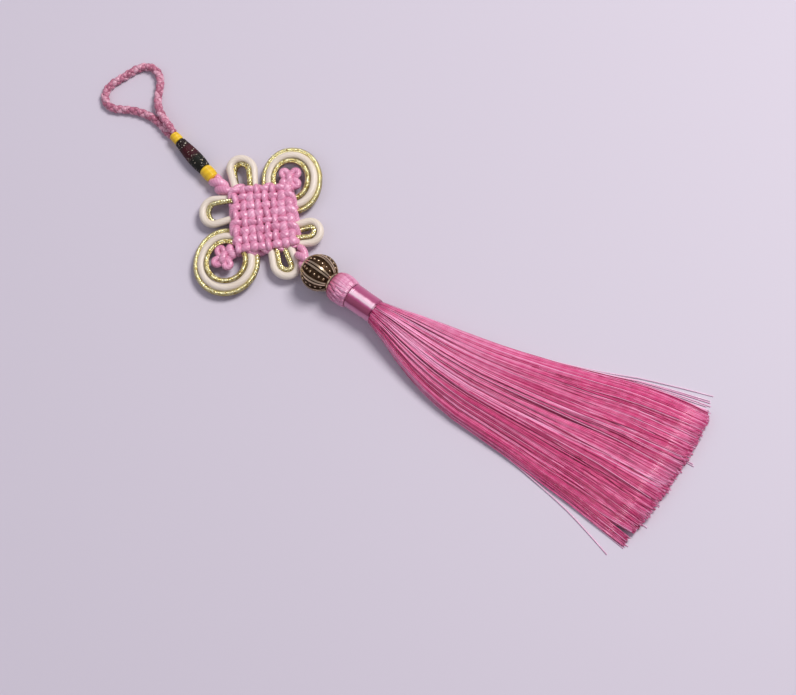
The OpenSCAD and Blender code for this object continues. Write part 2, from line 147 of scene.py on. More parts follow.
def addCamera():
    data = bpy.data.cameras.new("camera")
    data.sensor_fit = "HORIZONTAL"
    data.sensor_width = viewpoint["sensor"]
    data.lens = viewpoint["focalPixels"] / viewpoint["pictureWidth"] * viewpoint["sensor"]
    data.clip_start, data.clip_end = viewpoint["clip"]
    camera = newObject("camera", data)
    right = Vector(viewpoint["right"]).normalized()
    up = Vector(viewpoint["up"])
    up = (up - right * up.dot(right)).normalized()
    turn = Matrix((right, up, right.cross(up))).transposed().to_4x4()
    camera.matrix_world = Matrix.Translation(viewpoint["place"]) @ turn
    bpy.context.scene.camera = camera


addCamera()
print("camera placed")


# Mesh helpers
roundEnd = 0.35         # width of a cord's first and last ring, as a share
floorGap = 0.00001      # lowest point of any cord or thread, in metres


def unit(v):
    return v / np.maximum(np.linalg.norm(v, axis=-1, keepdims=True), 1e-12)


def ease(t):
    return t * t * (3 - 2 * t)


# Values given at even steps from 0 to 1, read at t.
def between(t, values):
    return np.interp(t, np.linspace(0, 1, len(values)), values)


# Points along Y at height z, or round that line when a radius and angles are given.
def alongY(y, z, radius=0.0, angle=0.0):
    parts = np.broadcast_arrays(radius * np.cos(angle), y, z + radius * np.sin(angle))
    return np.stack(parts, axis=-1)


# Smooth curve through the points, with the given number of samples.
def smoothRoute(points, samples):
    p = np.asarray(points, float)
    p = np.vstack([2 * p[0] - p[1], p, 2 * p[-1] - p[-2]])
    spots = np.linspace(0, len(p) - 3, samples)
    i = np.minimum(spots.astype(int), len(p) - 4)
    t = (spots - i)[:, None]
    a, b, c, d = p[i], p[i + 1], p[i + 2], p[i + 3]
    return 0.5 * (2 * b + (c - a) * t + (2 * a - 5 * b + 4 * c - d) * t ** 2
                  + (3 * b - a - 3 * c + d) * t ** 3)


# The same line with evenly spaced points.
def evenRoute(points, samples):
    steps = np.r_[0, np.cumsum(np.linalg.norm(np.diff(points, axis=0), axis=1))]
    spots = np.linspace(0, steps[-1], samples)
    return np.stack([np.interp(spots, steps, points[:, k]) for k in range(3)], axis=1)


def routeLength(route):
    return np.linalg.norm(np.diff(route, axis=0), axis=1).sum()


def bezier(a, b, c, d, samples):
    t = np.linspace(0, 1, samples + 2)[1:-1, None]
    return (1 - t) ** 3 * a + 3 * (1 - t) ** 2 * t * b + 3 * (1 - t) * t ** 2 * c + t ** 3 * d


# Directions to the side and up along many paths at once, carried along without twist.
def carried(paths, across=None):
    along = unit(np.gradient(paths, axis=1))
    if across is None:
        across = np.cross(along[:, 0], [0, 0, 1.0])
        upright = np.linalg.norm(across, axis=1) < 0.05
        across[upright] = [1, 0, 0]
    across = np.broadcast_to(np.asarray(across, float), paths[:, 0].shape)
    sideways = np.empty_like(paths)
    for i in range(paths.shape[1]):
        t = along[:, i]
        across = unit(across - t * np.sum(across * t, axis=1, keepdims=True))
        sideways[:, i] = across
    return sideways, np.cross(sideways, along)


# Quads over a grid of points, row by row. A closed one joins its last column to its first.
def gridQuads(rows, columns, closed=False):
    last = columns if closed else columns - 1
    i, j = np.meshgrid(np.arange(rows - 1), np.arange(last), indexing="ij")
    a, b = i * columns + j, i * columns + (j + 1) % columns
    return np.stack([a, b, b + columns, a + columns], axis=-1).reshape(-1, 4)


# Faces, end caps and thread map of tubes, from the lengths along them, of shape (tubes, rings).
def tubeFaces(length, sides):
    count, rings = length.shape
    j = np.arange(sides)
    starts = np.arange(count)[:, None] * rings * sides
    quads = (gridQuads(rings, sides, True) + starts[..., None]).reshape(-1, 4)
    each = (count, rings - 1, sides)
    u = np.broadcast_to(np.stack([j, j + 1, j + 1, j], axis=-1) / sides, (*each, 4))
    v0, v1 = np.broadcast_to(length[:, :-1, None], each), np.broadcast_to(length[:, 1:, None], each)
    uvs = np.stack([u, np.stack([v0, v0, v1, v1], axis=-1)], axis=-1).reshape(-1, 2)
    caps = np.concatenate([starts + j[::-1], starts + (rings - 1) * sides + j])
    strand = np.repeat(np.arange(count), rings * sides)
    return {"quads": quads, "uvs": uvs, "caps": caps, "strand": strand}


# Tubes from two directions and two half widths at each point of the paths.
def ringed(paths, sideways, upward, wide, high, sides, spin=0.0):
    angles = np.arange(sides) / sides * fullTurn + spin
    ring = (sideways[:, :, None] * (wide[..., None] * np.cos(angles))[..., None]
            + upward[:, :, None] * (high[..., None] * np.sin(angles))[..., None])
    verts = (paths[:, :, None] + ring).reshape(-1, 3)
    steps = np.linalg.norm(np.diff(paths, axis=1), axis=2)
    length = np.concatenate([np.zeros((len(paths), 1)), np.cumsum(steps, axis=1)], axis=1)
    return {"verts": verts, **tubeFaces(length, sides)}


# Tubes along paths of shape (tubes, points, 3). Half widths may be numbers or arrays.
def tubes(paths, wide, high=None, sides=8, across=None, roundEnds=True, spin=0.0):
    paths = np.asarray(paths, float)
    if paths.ndim == 2:
        paths = paths[None]
    high = wide if high is None else high
    wide = np.broadcast_to(wide, paths.shape[:2]).copy()
    high = np.broadcast_to(high, paths.shape[:2]).copy()
    if roundEnds:
        wide[:, [0, -1]] *= roundEnd
        high[:, [0, -1]] *= roundEnd
    return ringed(paths, *carried(paths, across), wide, high, sides, spin)


# Joins several sets of tubes or sheets into one.
def joined(parts):
    out = {"verts": [], "quads": [], "uvs": [], "caps": [], "strand": []}
    verts = strands = 0
    for part in parts:
        out["verts"].append(part["verts"])
        out["quads"].append(part["quads"] + verts)
        out["uvs"].append(part["uvs"])
        out["caps"].extend(cap + verts for cap in part["caps"])
        out["strand"].append(part["strand"] + strands)
        verts += len(part["verts"])
        strands += int(part["strand"].max()) + 1
    for key in ("verts", "quads", "uvs", "strand"):
        out[key] = np.concatenate(out[key])
    return out


# Makes the mesh, in metres, with a tint for each strand, and lets it ride on the part.
def addPiece(name, part, material, nodes=(), seed=1, tints=None):
    mesh = bpy.data.meshes.new(name)
    verts = part["verts"] * mm
    verts[:, 2] = np.maximum(verts[:, 2], floorGap)      # flattened a little where it rests
    caps = [cap.tolist() for cap in part["caps"]]
    mesh.from_pydata(verts.tolist(), [], part["quads"].tolist() + caps)
    uvs = np.vstack([part["uvs"], np.zeros((sum(len(cap) for cap in caps), 2))])
    layer = mesh.uv_layers.new(name="threadMap")
    layer.data.foreach_set("uv", uvs.astype(np.float32).ravel())
    if tints is None:
        tints = np.random.default_rng(seed).random(int(part["strand"].max()) + 1)
    tint = mesh.attributes.new("tint", "FLOAT", "POINT")
    tint.data.foreach_set("value", tints[part["strand"]].astype(np.float32))
    mesh.polygons.foreach_set("use_smooth", [True] * len(mesh.polygons))
    mesh.materials.append(material)
    mesh.update()
    piece = newObject(name, mesh)
    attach(piece, "root")
    if nodes:
        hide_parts(*nodes)
    return piece


# Material helpers
class NodeBoard:
    def __init__(self, name):
        self.material = bpy.data.materials.new(name)
        self.material.use_nodes = True
        self.tree = self.material.node_tree

    def add(self, kind, **fields):
        node = self.tree.nodes.new(kind)
        for key, value in fields.items():
            setattr(node, key, value)
        return node

    # Links a node's input or gives it a value.
    def put(self, node, key, value):
        if isinstance(value, bpy.types.NodeSocket):
            self.tree.links.new(value, node.inputs[key])
        else:
            node.inputs[key].default_value = value

    def maths(self, operation, a, b=0.0, clamp=False):
        node = self.add("ShaderNodeMath", operation=operation, use_clamp=clamp)
        self.put(node, 0, a)
        self.put(node, 1, b)
        return node.outputs[0]

    def plus(self, a, b, clamp=False):
        return self.maths("ADD", a, b, clamp)

    def minus(self, a, b, clamp=False):
        return self.maths("SUBTRACT", a, b, clamp)

    def times(self, a, b):
        return self.maths("MULTIPLY", a, b)

    # Smooth waves between 0 and 1, one for each full turn of the phase.
    def waves(self, phase):
        return self.times(self.plus(self.maths("SINE", phase), 1.0), 0.5)

    def noise(self, scale, detail, vector=None):
        node = self.add("ShaderNodeTexNoise")
        self.put(node, "Scale", scale)
        self.put(node, "Detail", detail)
        self.put(node, "Vector", vector or self.add("ShaderNodeTexCoord").outputs["Object"])
        return node.outputs["Fac"]

    def ramp(self, factor, stops):
        node = self.add("ShaderNodeValToRGB")
        elements = node.color_ramp.elements
        while len(elements) < len(stops):
            elements.new(0.5)
        for element, (place, colour) in zip(elements, stops):
            element.position = place
            element.color = (*colour, 1)
        self.put(node, "Fac", factor)
        return node.outputs["Color"]

    def mix(self, factor, a, b):
        node = self.add("ShaderNodeMix", data_type="RGBA")
        self.put(node, 0, factor)
        self.put(node, 6, a)
        self.put(node, 7, (*b, 1))
        return node.outputs[2]

    def bump(self, height, strength, under=None, distance=0.0001):
        node = self.add("ShaderNodeBump")
        self.put(node, "Strength", strength)
        self.put(node, "Distance", distance)
        self.put(node, "Height", height)
        if under is not None:
            self.put(node, "Normal", under)
        return node.outputs["Normal"]

    def tint(self):
        return self.add("ShaderNodeAttribute", attribute_name="tint").outputs["Fac"]

    def split(self, vector):
        node = self.add("ShaderNodeSeparateXYZ")
        self.put(node, 0, vector)
        return node.outputs

    # Place round a cord, from 0 to 1, and along it, in mm.
    def threadUv(self):
        outputs = self.split(self.add("ShaderNodeUVMap", uv_map="threadMap").outputs["UV"])
        return outputs["X"], outputs["Y"]

    # Fills the shader's inputs and gives the material back.
    def finished(self, inputs):
        for key, value in inputs.items():
            self.put(self.tree.nodes["Principled BSDF"], key, value)
        return self.material


def grey(value):
    return (value, value, value)


# What the cords and threads share unless their own finish says otherwise.
plainThread = {
    "lines": 2, "lineShade": 0.15, "tintShade": 0.0, "fuzzScale": 5200, "fuzzBump": 0.1,
    "roughSpread": 0.15, "gloss": 0.6, "sheen": 0.2, "sheenRough": 0.4,
}


# Spun thread: fine lines wound along it, patches, a tint of its own for each strand, and fuzz.
def threadFinish(name, changes):
    finish = {**plainThread, **changes}
    board = NodeBoard(name)
    u, v = board.threadUv()
    phase = board.plus(board.times(u, finish["lines"] * fullTurn),
                       board.times(v, finish["linesPerMm"] * fullTurn))
    lines = board.waves(phase)
    patches = board.noise(finish["patchScale"], 3.0)
    shade = board.plus(board.times(lines, finish["lineShade"]), board.times(patches, finish["patchShade"]))
    shade = board.plus(shade, board.times(board.tint(), finish["tintShade"]), True)
    if "paintedSheenAlong" in finish:          # painted sheen along the thread: length in mm, what it adds
        stops = [(mmAlong / 100, grey(value)) for mmAlong, value in finish["paintedSheenAlong"]]
        shade = board.plus(shade, board.ramp(board.maths("DIVIDE", v, 100.0), stops), True)
    colour = board.ramp(shade, list(zip((0.0, 0.5, 1.0), finish["colours"])))
    if "pale" in finish:                # threads with a higher tint than the first number are paler
        above, paleColour = finish["pale"]
        colour = board.mix(board.minus(board.tint(), above, True), colour, paleColour)
    if "root" in finish:                # painted shade on the first millimetres of each thread, where the bead shades the cap
        reach, paintedRootShade = finish["root"]
        near = board.minus(1.0, board.maths("DIVIDE", v, reach), True)
        colour = board.mix(near, colour, paintedRootShade)
    normal = board.bump(lines, finish["lineBump"])
    normal = board.bump(board.noise(finish["fuzzScale"], 2.0), finish["fuzzBump"], normal)
    rough = board.plus(board.times(patches, finish["roughSpread"]), finish["roughness"])
    return board.finished({
        "Base Color": colour, "Normal": normal, "Roughness": rough, "Sheen Weight": finish["sheen"],
        "Sheen Roughness": finish["sheenRough"], "Sheen Tint": (*finish["sheenTint"], 1),
        "Specular IOR Level": finish["gloss"]})


pinkCord = threadFinish("pinkCord", {
    "colours": ((0.42, 0.07, 0.18), (0.78, 0.31, 0.48), (0.97, 0.66, 0.82)),
    "lines": 5, "linesPerMm": 1.6, "patchScale": 480, "fuzzScale": 2600,
    "lineShade": 0.16, "patchShade": 0.72, "tintShade": 0.08, "lineBump": 0.35, "fuzzBump": 0.45,
    "roughness": 0.29, "gloss": 1.0, "sheen": 0.25, "sheenTint": (1.0, 0.8, 0.95),
})
loopCord = threadFinish("loopCord", {
    "colours": ((0.26, 0.05, 0.1), (0.52, 0.16, 0.25), (0.88, 0.54, 0.64)),
    "lines": 3, "linesPerMm": 1.2, "patchScale": 300, "patchShade": 0.3, "tintShade": 0.6,
    "lineBump": 0.3, "fuzzBump": 0.12, "roughness": 0.31, "sheenTint": (1.0, 0.85, 0.95),
})
creamCord = threadFinish("creamCord", {
    "colours": ((0.66, 0.55, 0.42), (0.8, 0.71, 0.6), (0.86, 0.79, 0.71)),
    "lines": 9, "linesPerMm": 0.5, "patchScale": 180, "lineShade": 0.2, "patchShade": 0.7,
    "lineBump": 0.12, "roughness": 0.35, "gloss": 0.5, "sheenTint": (1.0, 0.97, 0.93),
})
yellowThread = threadFinish("yellowThread", {
    "colours": ((0.57, 0.313, 0.004), (0.912, 0.603, 0.017), (1.0, 0.766, 0.055)),
    "linesPerMm": 2.0, "patchScale": 300, "lineShade": 0.2, "patchShade": 0.7,
    "lineBump": 0.2, "roughness": 0.27, "sheen": 0.15, "sheenTint": (1.0, 0.95, 0.6),
})
skirtThread = threadFinish("skirtThread", {
    "colours": ((0.36, 0.016, 0.085), (0.78, 0.066, 0.26), (1.0, 0.46, 0.7)),
    "lines": 1, "linesPerMm": 0.3, "patchScale": 120, "fuzzScale": 3000,
    "lineShade": 0.08, "patchShade": 0.16, "tintShade": 0.8, "pale": (1.1, (1.0, 0.8, 0.92)),
    # Painted sheen: lighter from 3 to 48 mm, where the fan faces the light, and lighter again at the cut.
    "paintedSheenAlong": ((0, 0.04), (3, 0.14), (8, 0.3), (20, 0.29), (32, 0.18), (48, 0.08),
                   (80, 0.0), (86, 0.05), (90, 0.13)),
    "lineBump": 0.05, "fuzzBump": 0.05, "roughness": 0.21, "gloss": 0.9,
    "sheen": 0.1, "sheenTint": (1.0, 0.8, 0.9),
})
capThread = threadFinish("capThread", {
    "colours": ((0.4, 0.08, 0.19), (0.72, 0.27, 0.44), (0.92, 0.54, 0.7)),
    "linesPerMm": 0.8, "patchScale": 320, "fuzzScale": 4000, "patchShade": 0.55, "tintShade": 0.3,
    # Painted shade: each thread is darkened over its first 3.4 mm, next to the bead.
    "root": (3.4, (0.44, 0.05, 0.12)), "lineBump": 0.15, "fuzzBump": 0.08,
    "roughness": 0.23, "gloss": 0.8, "sheenTint": (1.0, 0.85, 0.95),
})


# Cords braided from metal foil strips: bright on the crowns, with painted shade turning the downward-facing
# flanks brown.
def goldFoil():
    board = NodeBoard("goldFoil")
    tone = board.plus(board.times(board.tint(), 0.3), board.noise(2600, 3.0), True)
    colour = board.ramp(tone, [(0.36, (0.2, 0.13, 0.02)), (0.54, (0.66, 0.52, 0.13)),
                               (0.72, (1.0, 0.95, 0.56))])
    # Painted shade: the less a place faces upward, the more its colour is mixed towards dark brown.
    facing = board.split(board.add("ShaderNodeNewGeometry").outputs["Normal"])["Z"]
    paintedFlankShade = board.ramp(facing, [(0.3, grey(1)), (0.85, grey(0))])
    colour = board.mix(board.times(paintedFlankShade, 0.8), colour, (0.15, 0.09, 0.016))
    return board.finished({"Base Color": colour, "Normal": board.bump(board.noise(6000, 2.0), 0.5),
                           "Metallic": 0.85, "Roughness": 0.26})


# Dark wrap: maroon in the middle, green black towards the knot, with foil flecks.
def darkWrapThread():
    board = NodeBoard("darkWrapThread")
    zone = board.ramp(board.maths("DIVIDE", board.threadUv()[1], layout["darkWrapLen"]), [
        (0.0, (0.01, 0.01, 0.007)), (0.32, (0.013, 0.015, 0.01)), (0.45, (0.05, 0.007, 0.012)),
        (0.68, (0.06, 0.008, 0.013)), (0.8, (0.02, 0.009, 0.008)), (1.0, (0.015, 0.009, 0.008))])
    fleck = board.maths("GREATER_THAN", board.noise(1900, 1.0), 0.674)
    return board.finished({
        "Base Color": board.mix(fleck, zone, (0.6, 0.55, 0.45)), "Metallic": board.times(fleck, 0.8),
        "Normal": board.bump(board.noise(4200, 2.0), 0.2), "Roughness": 0.5, "Specular IOR Level": 0.25})


goldCord = goldFoil()
darkThread = darkWrapThread()
print("cord finishes ready")


# How the strands of every braid lie. Lengths are in mm and shares are of a strand's half width.
braiding = {
    "flatWide": 1.25,       # a strip is wider than a round strand
    "lift": 0.45,           # over and under its neighbours
    "sunk": 0.3,            # their middle, below the braid's own thickness
    "offset": 0.4,          # turn of the strands that wind the other way, in radians
    "pinchReach": 1.6,      # thinner over this length at both ends
}


# Braid: strands wound both ways round a route and a core, each passing over and under the others.
def braid(route, row):
    length = routeLength(route)
    rings = int(length / row["turnLen"] * row["perTurn"]) + 2
    line = evenRoute(route, rings)
    sideways, upward = carried(line[None])
    s = np.linspace(0, length, rings)
    pinch = 1 - row["taper"] * np.exp(-(np.minimum(s, length - s) / braiding["pinchReach"]) ** 2)
    crown = row["thick"] / 2 - row["strand"] * (row["flat"] + braiding["sunk"])
    paths = []
    for way in (1, -1):
        for k in range(row["each"]):
            angle = way * fullTurn * s / row["turnLen"] + fullTurn * k / row["each"]
            angle = (angle + (braiding["offset"] if way < 0 else 0))[:, None]
            # Each meets the others 2 * each times a turn, over and under by turns.
            crossing = fullTurn * row["each"] * s / row["turnLen"]
            lift = way * np.cos(crossing) * row["strand"] * braiding["lift"]
            r = ((crown + lift) * pinch)[:, None]
            paths.append(line + r * (sideways[0] * np.cos(angle) + upward[0] * np.sin(angle)))
    paths = np.array(paths)
    # The strips lie flat on the cord.
    out = unit(paths - line)
    flatWay = unit(np.cross(unit(np.gradient(paths, axis=1)), out))
    even = np.full(paths.shape[:2], row["strand"])
    paintedLightStrips = ringed(paths, flatWay, out, even * braiding["flatWide"], even * row["flat"], row["sides"])
    return joined([paintedLightStrips, tubes(line, row["core"], sides=row["coreSides"])]), line


# Hanging loop, a round braid. Its route repeats the part's, Y from the upper wrap.
hangingLoop = {
    "diameter": 2.2,            # the part's cord, which the braid's crowns pass a little
    "samples": (400, 260),      # points of the smooth line, and of the even one
    "tones": (0.15, 0.9, 0.45, 0.8, 0.3, 0.6),
    "braid": {"thick": 2.4, "strand": 0.52, "flat": 0.75, "each": 3, "turnLen": 7.2, "perTurn": 40,
              "sides": 8, "taper": 0.45, "core": 0.65, "coreSides": 10},
    "route": [
        (0.65, 0, 2.9), (0.65, 1.6, 2.9), (0.8, 3.6, 2.9), (1.15, 6.2, 2.78),
        (1.7, 8.6, 2.4), (2.7, 10.8, 1.8), (4.1, 12.7, 1.3), (5.8, 14.3, 1.1),
        (7.4, 15.9, 1.1), (8.5, 17.8, 1.1), (8.8, 19.9, 1.1), (8.1, 21.9, 1.1),
        (6.6, 23.3, 1.1), (4.6, 24.1, 1.1), (2.4, 24.5, 1.1), (0.2, 24.9, 1.1),
        (-2, 25.3, 1.1), (-4.2, 25.3, 1.1), (-6.2, 24.5, 1.1), (-7.5, 22.9, 1.1),
        (-7.9, 20.9, 1.1), (-7.2, 18.9, 1.1), (-5.9, 17.3, 1.1), (-4.5, 15.7, 1.1),
        (-3.2, 13.9, 1.1), (-2.1, 11.9, 1.1), (-1.25, 9.8, 1.1), (-0.7, 7.5, 1.1),
        (-0.5, 5, 1.1), (-0.65, 2.4, 1.1), (-0.65, 0, 1.1),
    ],
}


def addHangingLoop():
    route = atWraps(np.array(hangingLoop["route"]) + [0, loopY, 0])
    smooth, even = hangingLoop["samples"]
    cord, line = braid(evenRoute(smoothRoute(route, smooth), even), hangingLoop["braid"])
    piece = addPiece("hangingLoopBraid", cord, loopCord, ["hanging_loop"],
                     tints=np.array([*hangingLoop["tones"], 0.0]))


addHangingLoop()
print("hanging loop braided")


# Thread wraps: one thread wound side by side, from the given radii along the wrap.
wraps = {
    "thread": 0.42,
    "overlap": 0.56,        # half width of a turn, as a share of the turns' spacing
    "flat": 0.8,
    "perTurn": 28,
    "sides": 8,
    "yellowLow": {"y": layout["wrapY"], "length": layout["lowWrapLen"], "radii": (1.7, 1.95, 1.95, 1.9)},
    "dark": {"y": darkWrapY, "length": layout["darkWrapLen"],
             "radii": (1.92, 2.14, 2.2, 2.14, 1.97, 1.75, 1.56)},
    "yellowTop": {"y": topWrapY, "length": layout["topWrapLen"], "radii": (1.5, 1.5, 1.41)},
    "core": {"rings": 12, "sides": 32, "inset": 0.02},
}


def wrapCoil(row):
    count = round(row["length"] / wraps["thread"])
    t = np.linspace(0, 1, count * wraps["perTurn"])
    half = row["length"] / count * wraps["overlap"]
    thin = half * wraps["flat"]
    angle = t * count * fullTurn
    r = between(t, row["radii"]) - thin
    along = thin + (row["length"] - thin * 2) * t
    line = alongY(row["y"] + along, layout["wrapZ"], r, angle)
    across = turned((0, 1, 0), layout["wrapTurn"])
    coil = tubes(atWraps(line), half, thin, wraps["sides"], across=across)
    # The map's second number runs along the wrap, not along the thread.
    coil["uvs"][:, 1] = np.repeat(along[:-1], wraps["sides"] * 4)
    core = wraps["core"]
    spot = np.linspace(0, 1, core["rings"])
    spine = alongY(row["y"] + core["inset"] + (row["length"] - 2 * core["inset"]) * spot, layout["wrapZ"])
    inner = tubes(atWraps(spine), between(spot, row["radii"]) - half, sides=core["sides"], roundEnds=False)
    return joined([coil, inner])


addPiece("lowerYellowWrap", wrapCoil(wraps["yellowLow"]), yellowThread,
         ["lower_yellow_wrap"])
addPiece("darkWrapCoil", wrapCoil(wraps["dark"]), darkThread, ["dark_wrap"])
addPiece("upperYellowWrap", wrapCoil(wraps["yellowTop"]), yellowThread,
         ["upper_yellow_wrap"])
print("wraps wound")


# Knot body: four cords snake through each other in two layers, with their turns at the edges.
knotCords = {
    "wide": (1.04, 1.27),    # half width where a cord dives and where it rides over
    "high": (0.78, 0.88),
    "mean": 1.18,
    "rise": 0.55,
    "inset": 0.8,            # a leg's end, from the edge of the knot
    "bight": 0.4655,         # reach of the handles of a turn from one face to the other
    "outerTurn": 1.3,        # the same for a turn that passes a neighbour
    "tail": 1.1,             # a loose end, which dives into the knot. The last one folds back
    "tailDive": 0.3,
    "jitter": 0.2,
    "evenOut": 4,            # jitter is evened out over this many samples on both sides
    "perCell": 9,
    "spacing": 0.22,
    "sides": 14,
}


# Unevenness along a cord: random steps at the knots of the weave, evened out.
def wander(t, size, rng):
    spots = np.linspace(0, layout["cells"], layout["cells"] * 2 + 1)
    reach = knotCords["evenOut"]
    row = np.pad(np.interp(t, spots, rng.normal(0, size, len(spots))), reach, mode="edge")
    return np.convolve(row, np.ones(2 * reach + 1) / (2 * reach + 1), mode="valid")


# One leg across the knot: along the weave's second axis in its own line, on the front or back.
def weaveLeg(line, over, front, rng):
    cells, pitch = layout["cells"], layout["pitch"]
    inset = knotCords["inset"] / pitch
    t = np.linspace(inset, cells - inset, cells * knotCords["perCell"] + 1)
    sign = over * (1 if line % 2 == 0 else -1) * (1 if front else -1)
    across = (line + 0.5 - cells / 2) * pitch + wander(t, knotCords["jitter"], rng)
    heave = wander(t, knotCords["jitter"] * 0.6, rng)
    height = knotCords["mean"] + sign * knotCords["rise"] * np.cos(math.pi * (t - 0.5)) + heave
    return np.stack([across, (t - cells / 2) * pitch, height if front else -height], axis=1)


# A chain of legs on every second line. Closed turns at the far edge, outer turns at the near one.
# With way -1 it is turned end for end, so over and under change places.
def weaveChain(lines, over, way, rng):
    flip = np.array([1, way, 1])
    closed = np.array([0, way * knotCords["bight"], 0])
    outer = np.array([0, -way * knotCords["outerTurn"], 0])
    points = []
    for order, line in enumerate(lines):
        up = weaveLeg(line, over * way, True, rng) * flip
        down = weaveLeg(line, over * way, False, rng)[::-1] * flip
        if order:
            start, end = points[-1][-1], up[0]
            points.append(bezier(start, start + outer, end + outer, end, 20))
        points.append(up)
        points.append(bezier(up[-1], up[-1] + closed, down[0] + closed, down[0], 10))
        points.append(down)
    chain = np.vstack(points)
    tails = (chain[[0, -1]] + [0, -way * knotCords["tail"], 0]) * [1, 1, knotCords["tailDive"]]
    return np.vstack([tails[0], chain[:-1], tails[1], chain[-1]])


def addKnotBody():
    rng = np.random.default_rng(11)
    even, odd = (0, 2, 4, 6), (1, 3, 5, 7)
    parts = []
    for lines, over, way in ((even, 1, 1), (odd, 1, -1), (even, -1, 1), (odd, -1, -1)):
        chain, first = weaveChain(lines, over, way, rng), (1, 0, 0)
        if over < 0:                            # the other two cords run the other way
            chain, first = chain[:, [1, 0, 2]], (0, 1, 0)
        route = evenRoute(chain, int(routeLength(chain) / knotCords["spacing"]))
        level = np.abs(route[:, 2])
        crest = np.clip((level - knotCords["mean"]) / knotCords["rise"], -1, 1) * 0.5 + 0.5
        turning = np.clip(1 - level / (knotCords["mean"] - knotCords["rise"]), 0, 1)
        crest = np.maximum(crest, turning)      # full again where it goes round the edge
        wide, high = (low + (top - low) * crest for low, top in (knotCords["wide"], knotCords["high"]))
        placed = onKnot(turned(route, 45) + [0, 0, layout["knotZ"]])
        across = turned(first, 45 + layout["knotTurn"])
        parts.append(tubes(placed, wide, high, knotCords["sides"], across=across))
    addPiece("knotWeave", joined(parts), pinkCord, ["knot_body"])


addKnotBody()
print("knot woven")


# Twisted pairs at the neck and at the bead.
pairs = {
    "diameter": 1.7, "gap": 0.14, "sides": 14,
    "neckPlump": 1.5, "neckTurns": 1.05, "neckReach": (-0.3, 1.1), "neckFoot": (-0.7, 1.2),
    "linkPlump": 1.24, "linkTurns": 1.75, "linkStart": 0.6, "linkBend": 0.45, "linkSunk": 0.6,
    "thin": (0.2, 0.3, 9),      # thinner at the start and at the end, and how fast that fades
}


def twistedPair(route, turns, plump):
    sideways, upward = carried(route[None])
    t = np.linspace(0, 1, len(route))
    angle = fullTurn * turns * t
    reach = pairs["diameter"] / 2 + pairs["gap"]
    paths = []
    for phase in (0, math.pi):
        c, s = np.cos(angle + phase)[:, None], np.sin(angle + phase)[:, None]
        paths.append(route + reach * (sideways[0] * c + upward[0] * s))
    atStart, atEnd, fade = pairs["thin"]
    taper = 1 - atStart * np.exp(-t * fade) - atEnd * np.exp(-(1 - t) * fade)
    return tubes(np.array(paths), pairs["diameter"] / 2 * plump * taper, sides=pairs["sides"])


def addNeck():
    t = np.linspace(*pairs["neckReach"], 44)
    smooth = ease(np.clip(t, 0, 1))
    aside, further = pairs["neckFoot"]
    y = corner + layout["cornerGap"] + layout["neckLen"] * t + further * (1 - smooth)
    z = layout["knotZ"] + (layout["wrapZ"] - layout["knotZ"]) * smooth
    route = np.stack([aside * (1 - smooth), y, z], axis=1)
    pair = twistedPair(atKnot(route), pairs["neckTurns"], pairs["neckPlump"])
    addPiece("neckPair", pair, pinkCord, ["neck_cords"], 5)


# Straight through the bead, then in one bend to the knot's lower corner.
def addLink():
    inside = np.linspace(layout["capY"] + pairs["linkStart"], layout["linkY"], 16)[:-1]
    straight = alongY(inside, layout["beadZ"])
    lean = math.radians(layout["linkLean"])
    away = np.array([math.sin(lean), math.cos(lean), 0])
    start = np.array([0, layout["linkY"], 0])
    end = knotFoot - layout["cornerGap"] * away * (1 - pairs["linkSunk"])
    reach = (end[1] - layout["linkY"]) * pairs["linkBend"]
    bend = np.vstack([start, bezier(start, start + [0, reach, 0], end - reach * away, end, 18), end])
    bend[:, 2] = layout["beadZ"] + (layout["knotZ"] - layout["beadZ"]) * ease(np.linspace(0, 1, len(bend)))
    route = evenRoute(np.vstack([straight, bend]), 60)
    pair = twistedPair(atBead(route), pairs["linkTurns"], pairs["linkPlump"])
    addPiece("linkPair", pair, pinkCord, ["link_cords"], 6)


addNeck()
addLink()
print("neck and link twisted")


# Corner flowers: four small loops round a crossing, joined to the knot by two small lumps.
# Places are measured from the knot's corner, as in the part.
flowers = {
    "cord": 0.86,
    "sides": 14,
    # one half of a loop, from the middle of the flower outwards: along, aside, up
    "loop": [(0.1, 0.3, -0.25), (1.0, 0.66, 0.0), (2.0, 0.86, 0.12), (2.75, 0.7, 0.14), (3.12, 0.0, 0.14)],
    "crossing": {"half": 1.6, "wide": 0.95, "high": 0.75, "top": 1.15, "arch": 0.9},
    "lump": {"half": 1.5, "wide": 1.3, "high": 1.15, "lift": 0.35, "turn": 35},
    # turn of the corner, centre, turn of the loops, joining lumps
    "left": (135, (3.35, 0.5), 25, ((1.5, -1.5), (0.6, -0.3))),
    "right": (-45, (-0.45, 2.0), 42, ((-2.3, 0.9), (-0.9, 1.0))),
}


# Half width of an egg shape along its length.
def egg(t, width):
    return width * np.sqrt(np.maximum(0.02, 1 - (2 * t - 1) ** 2))


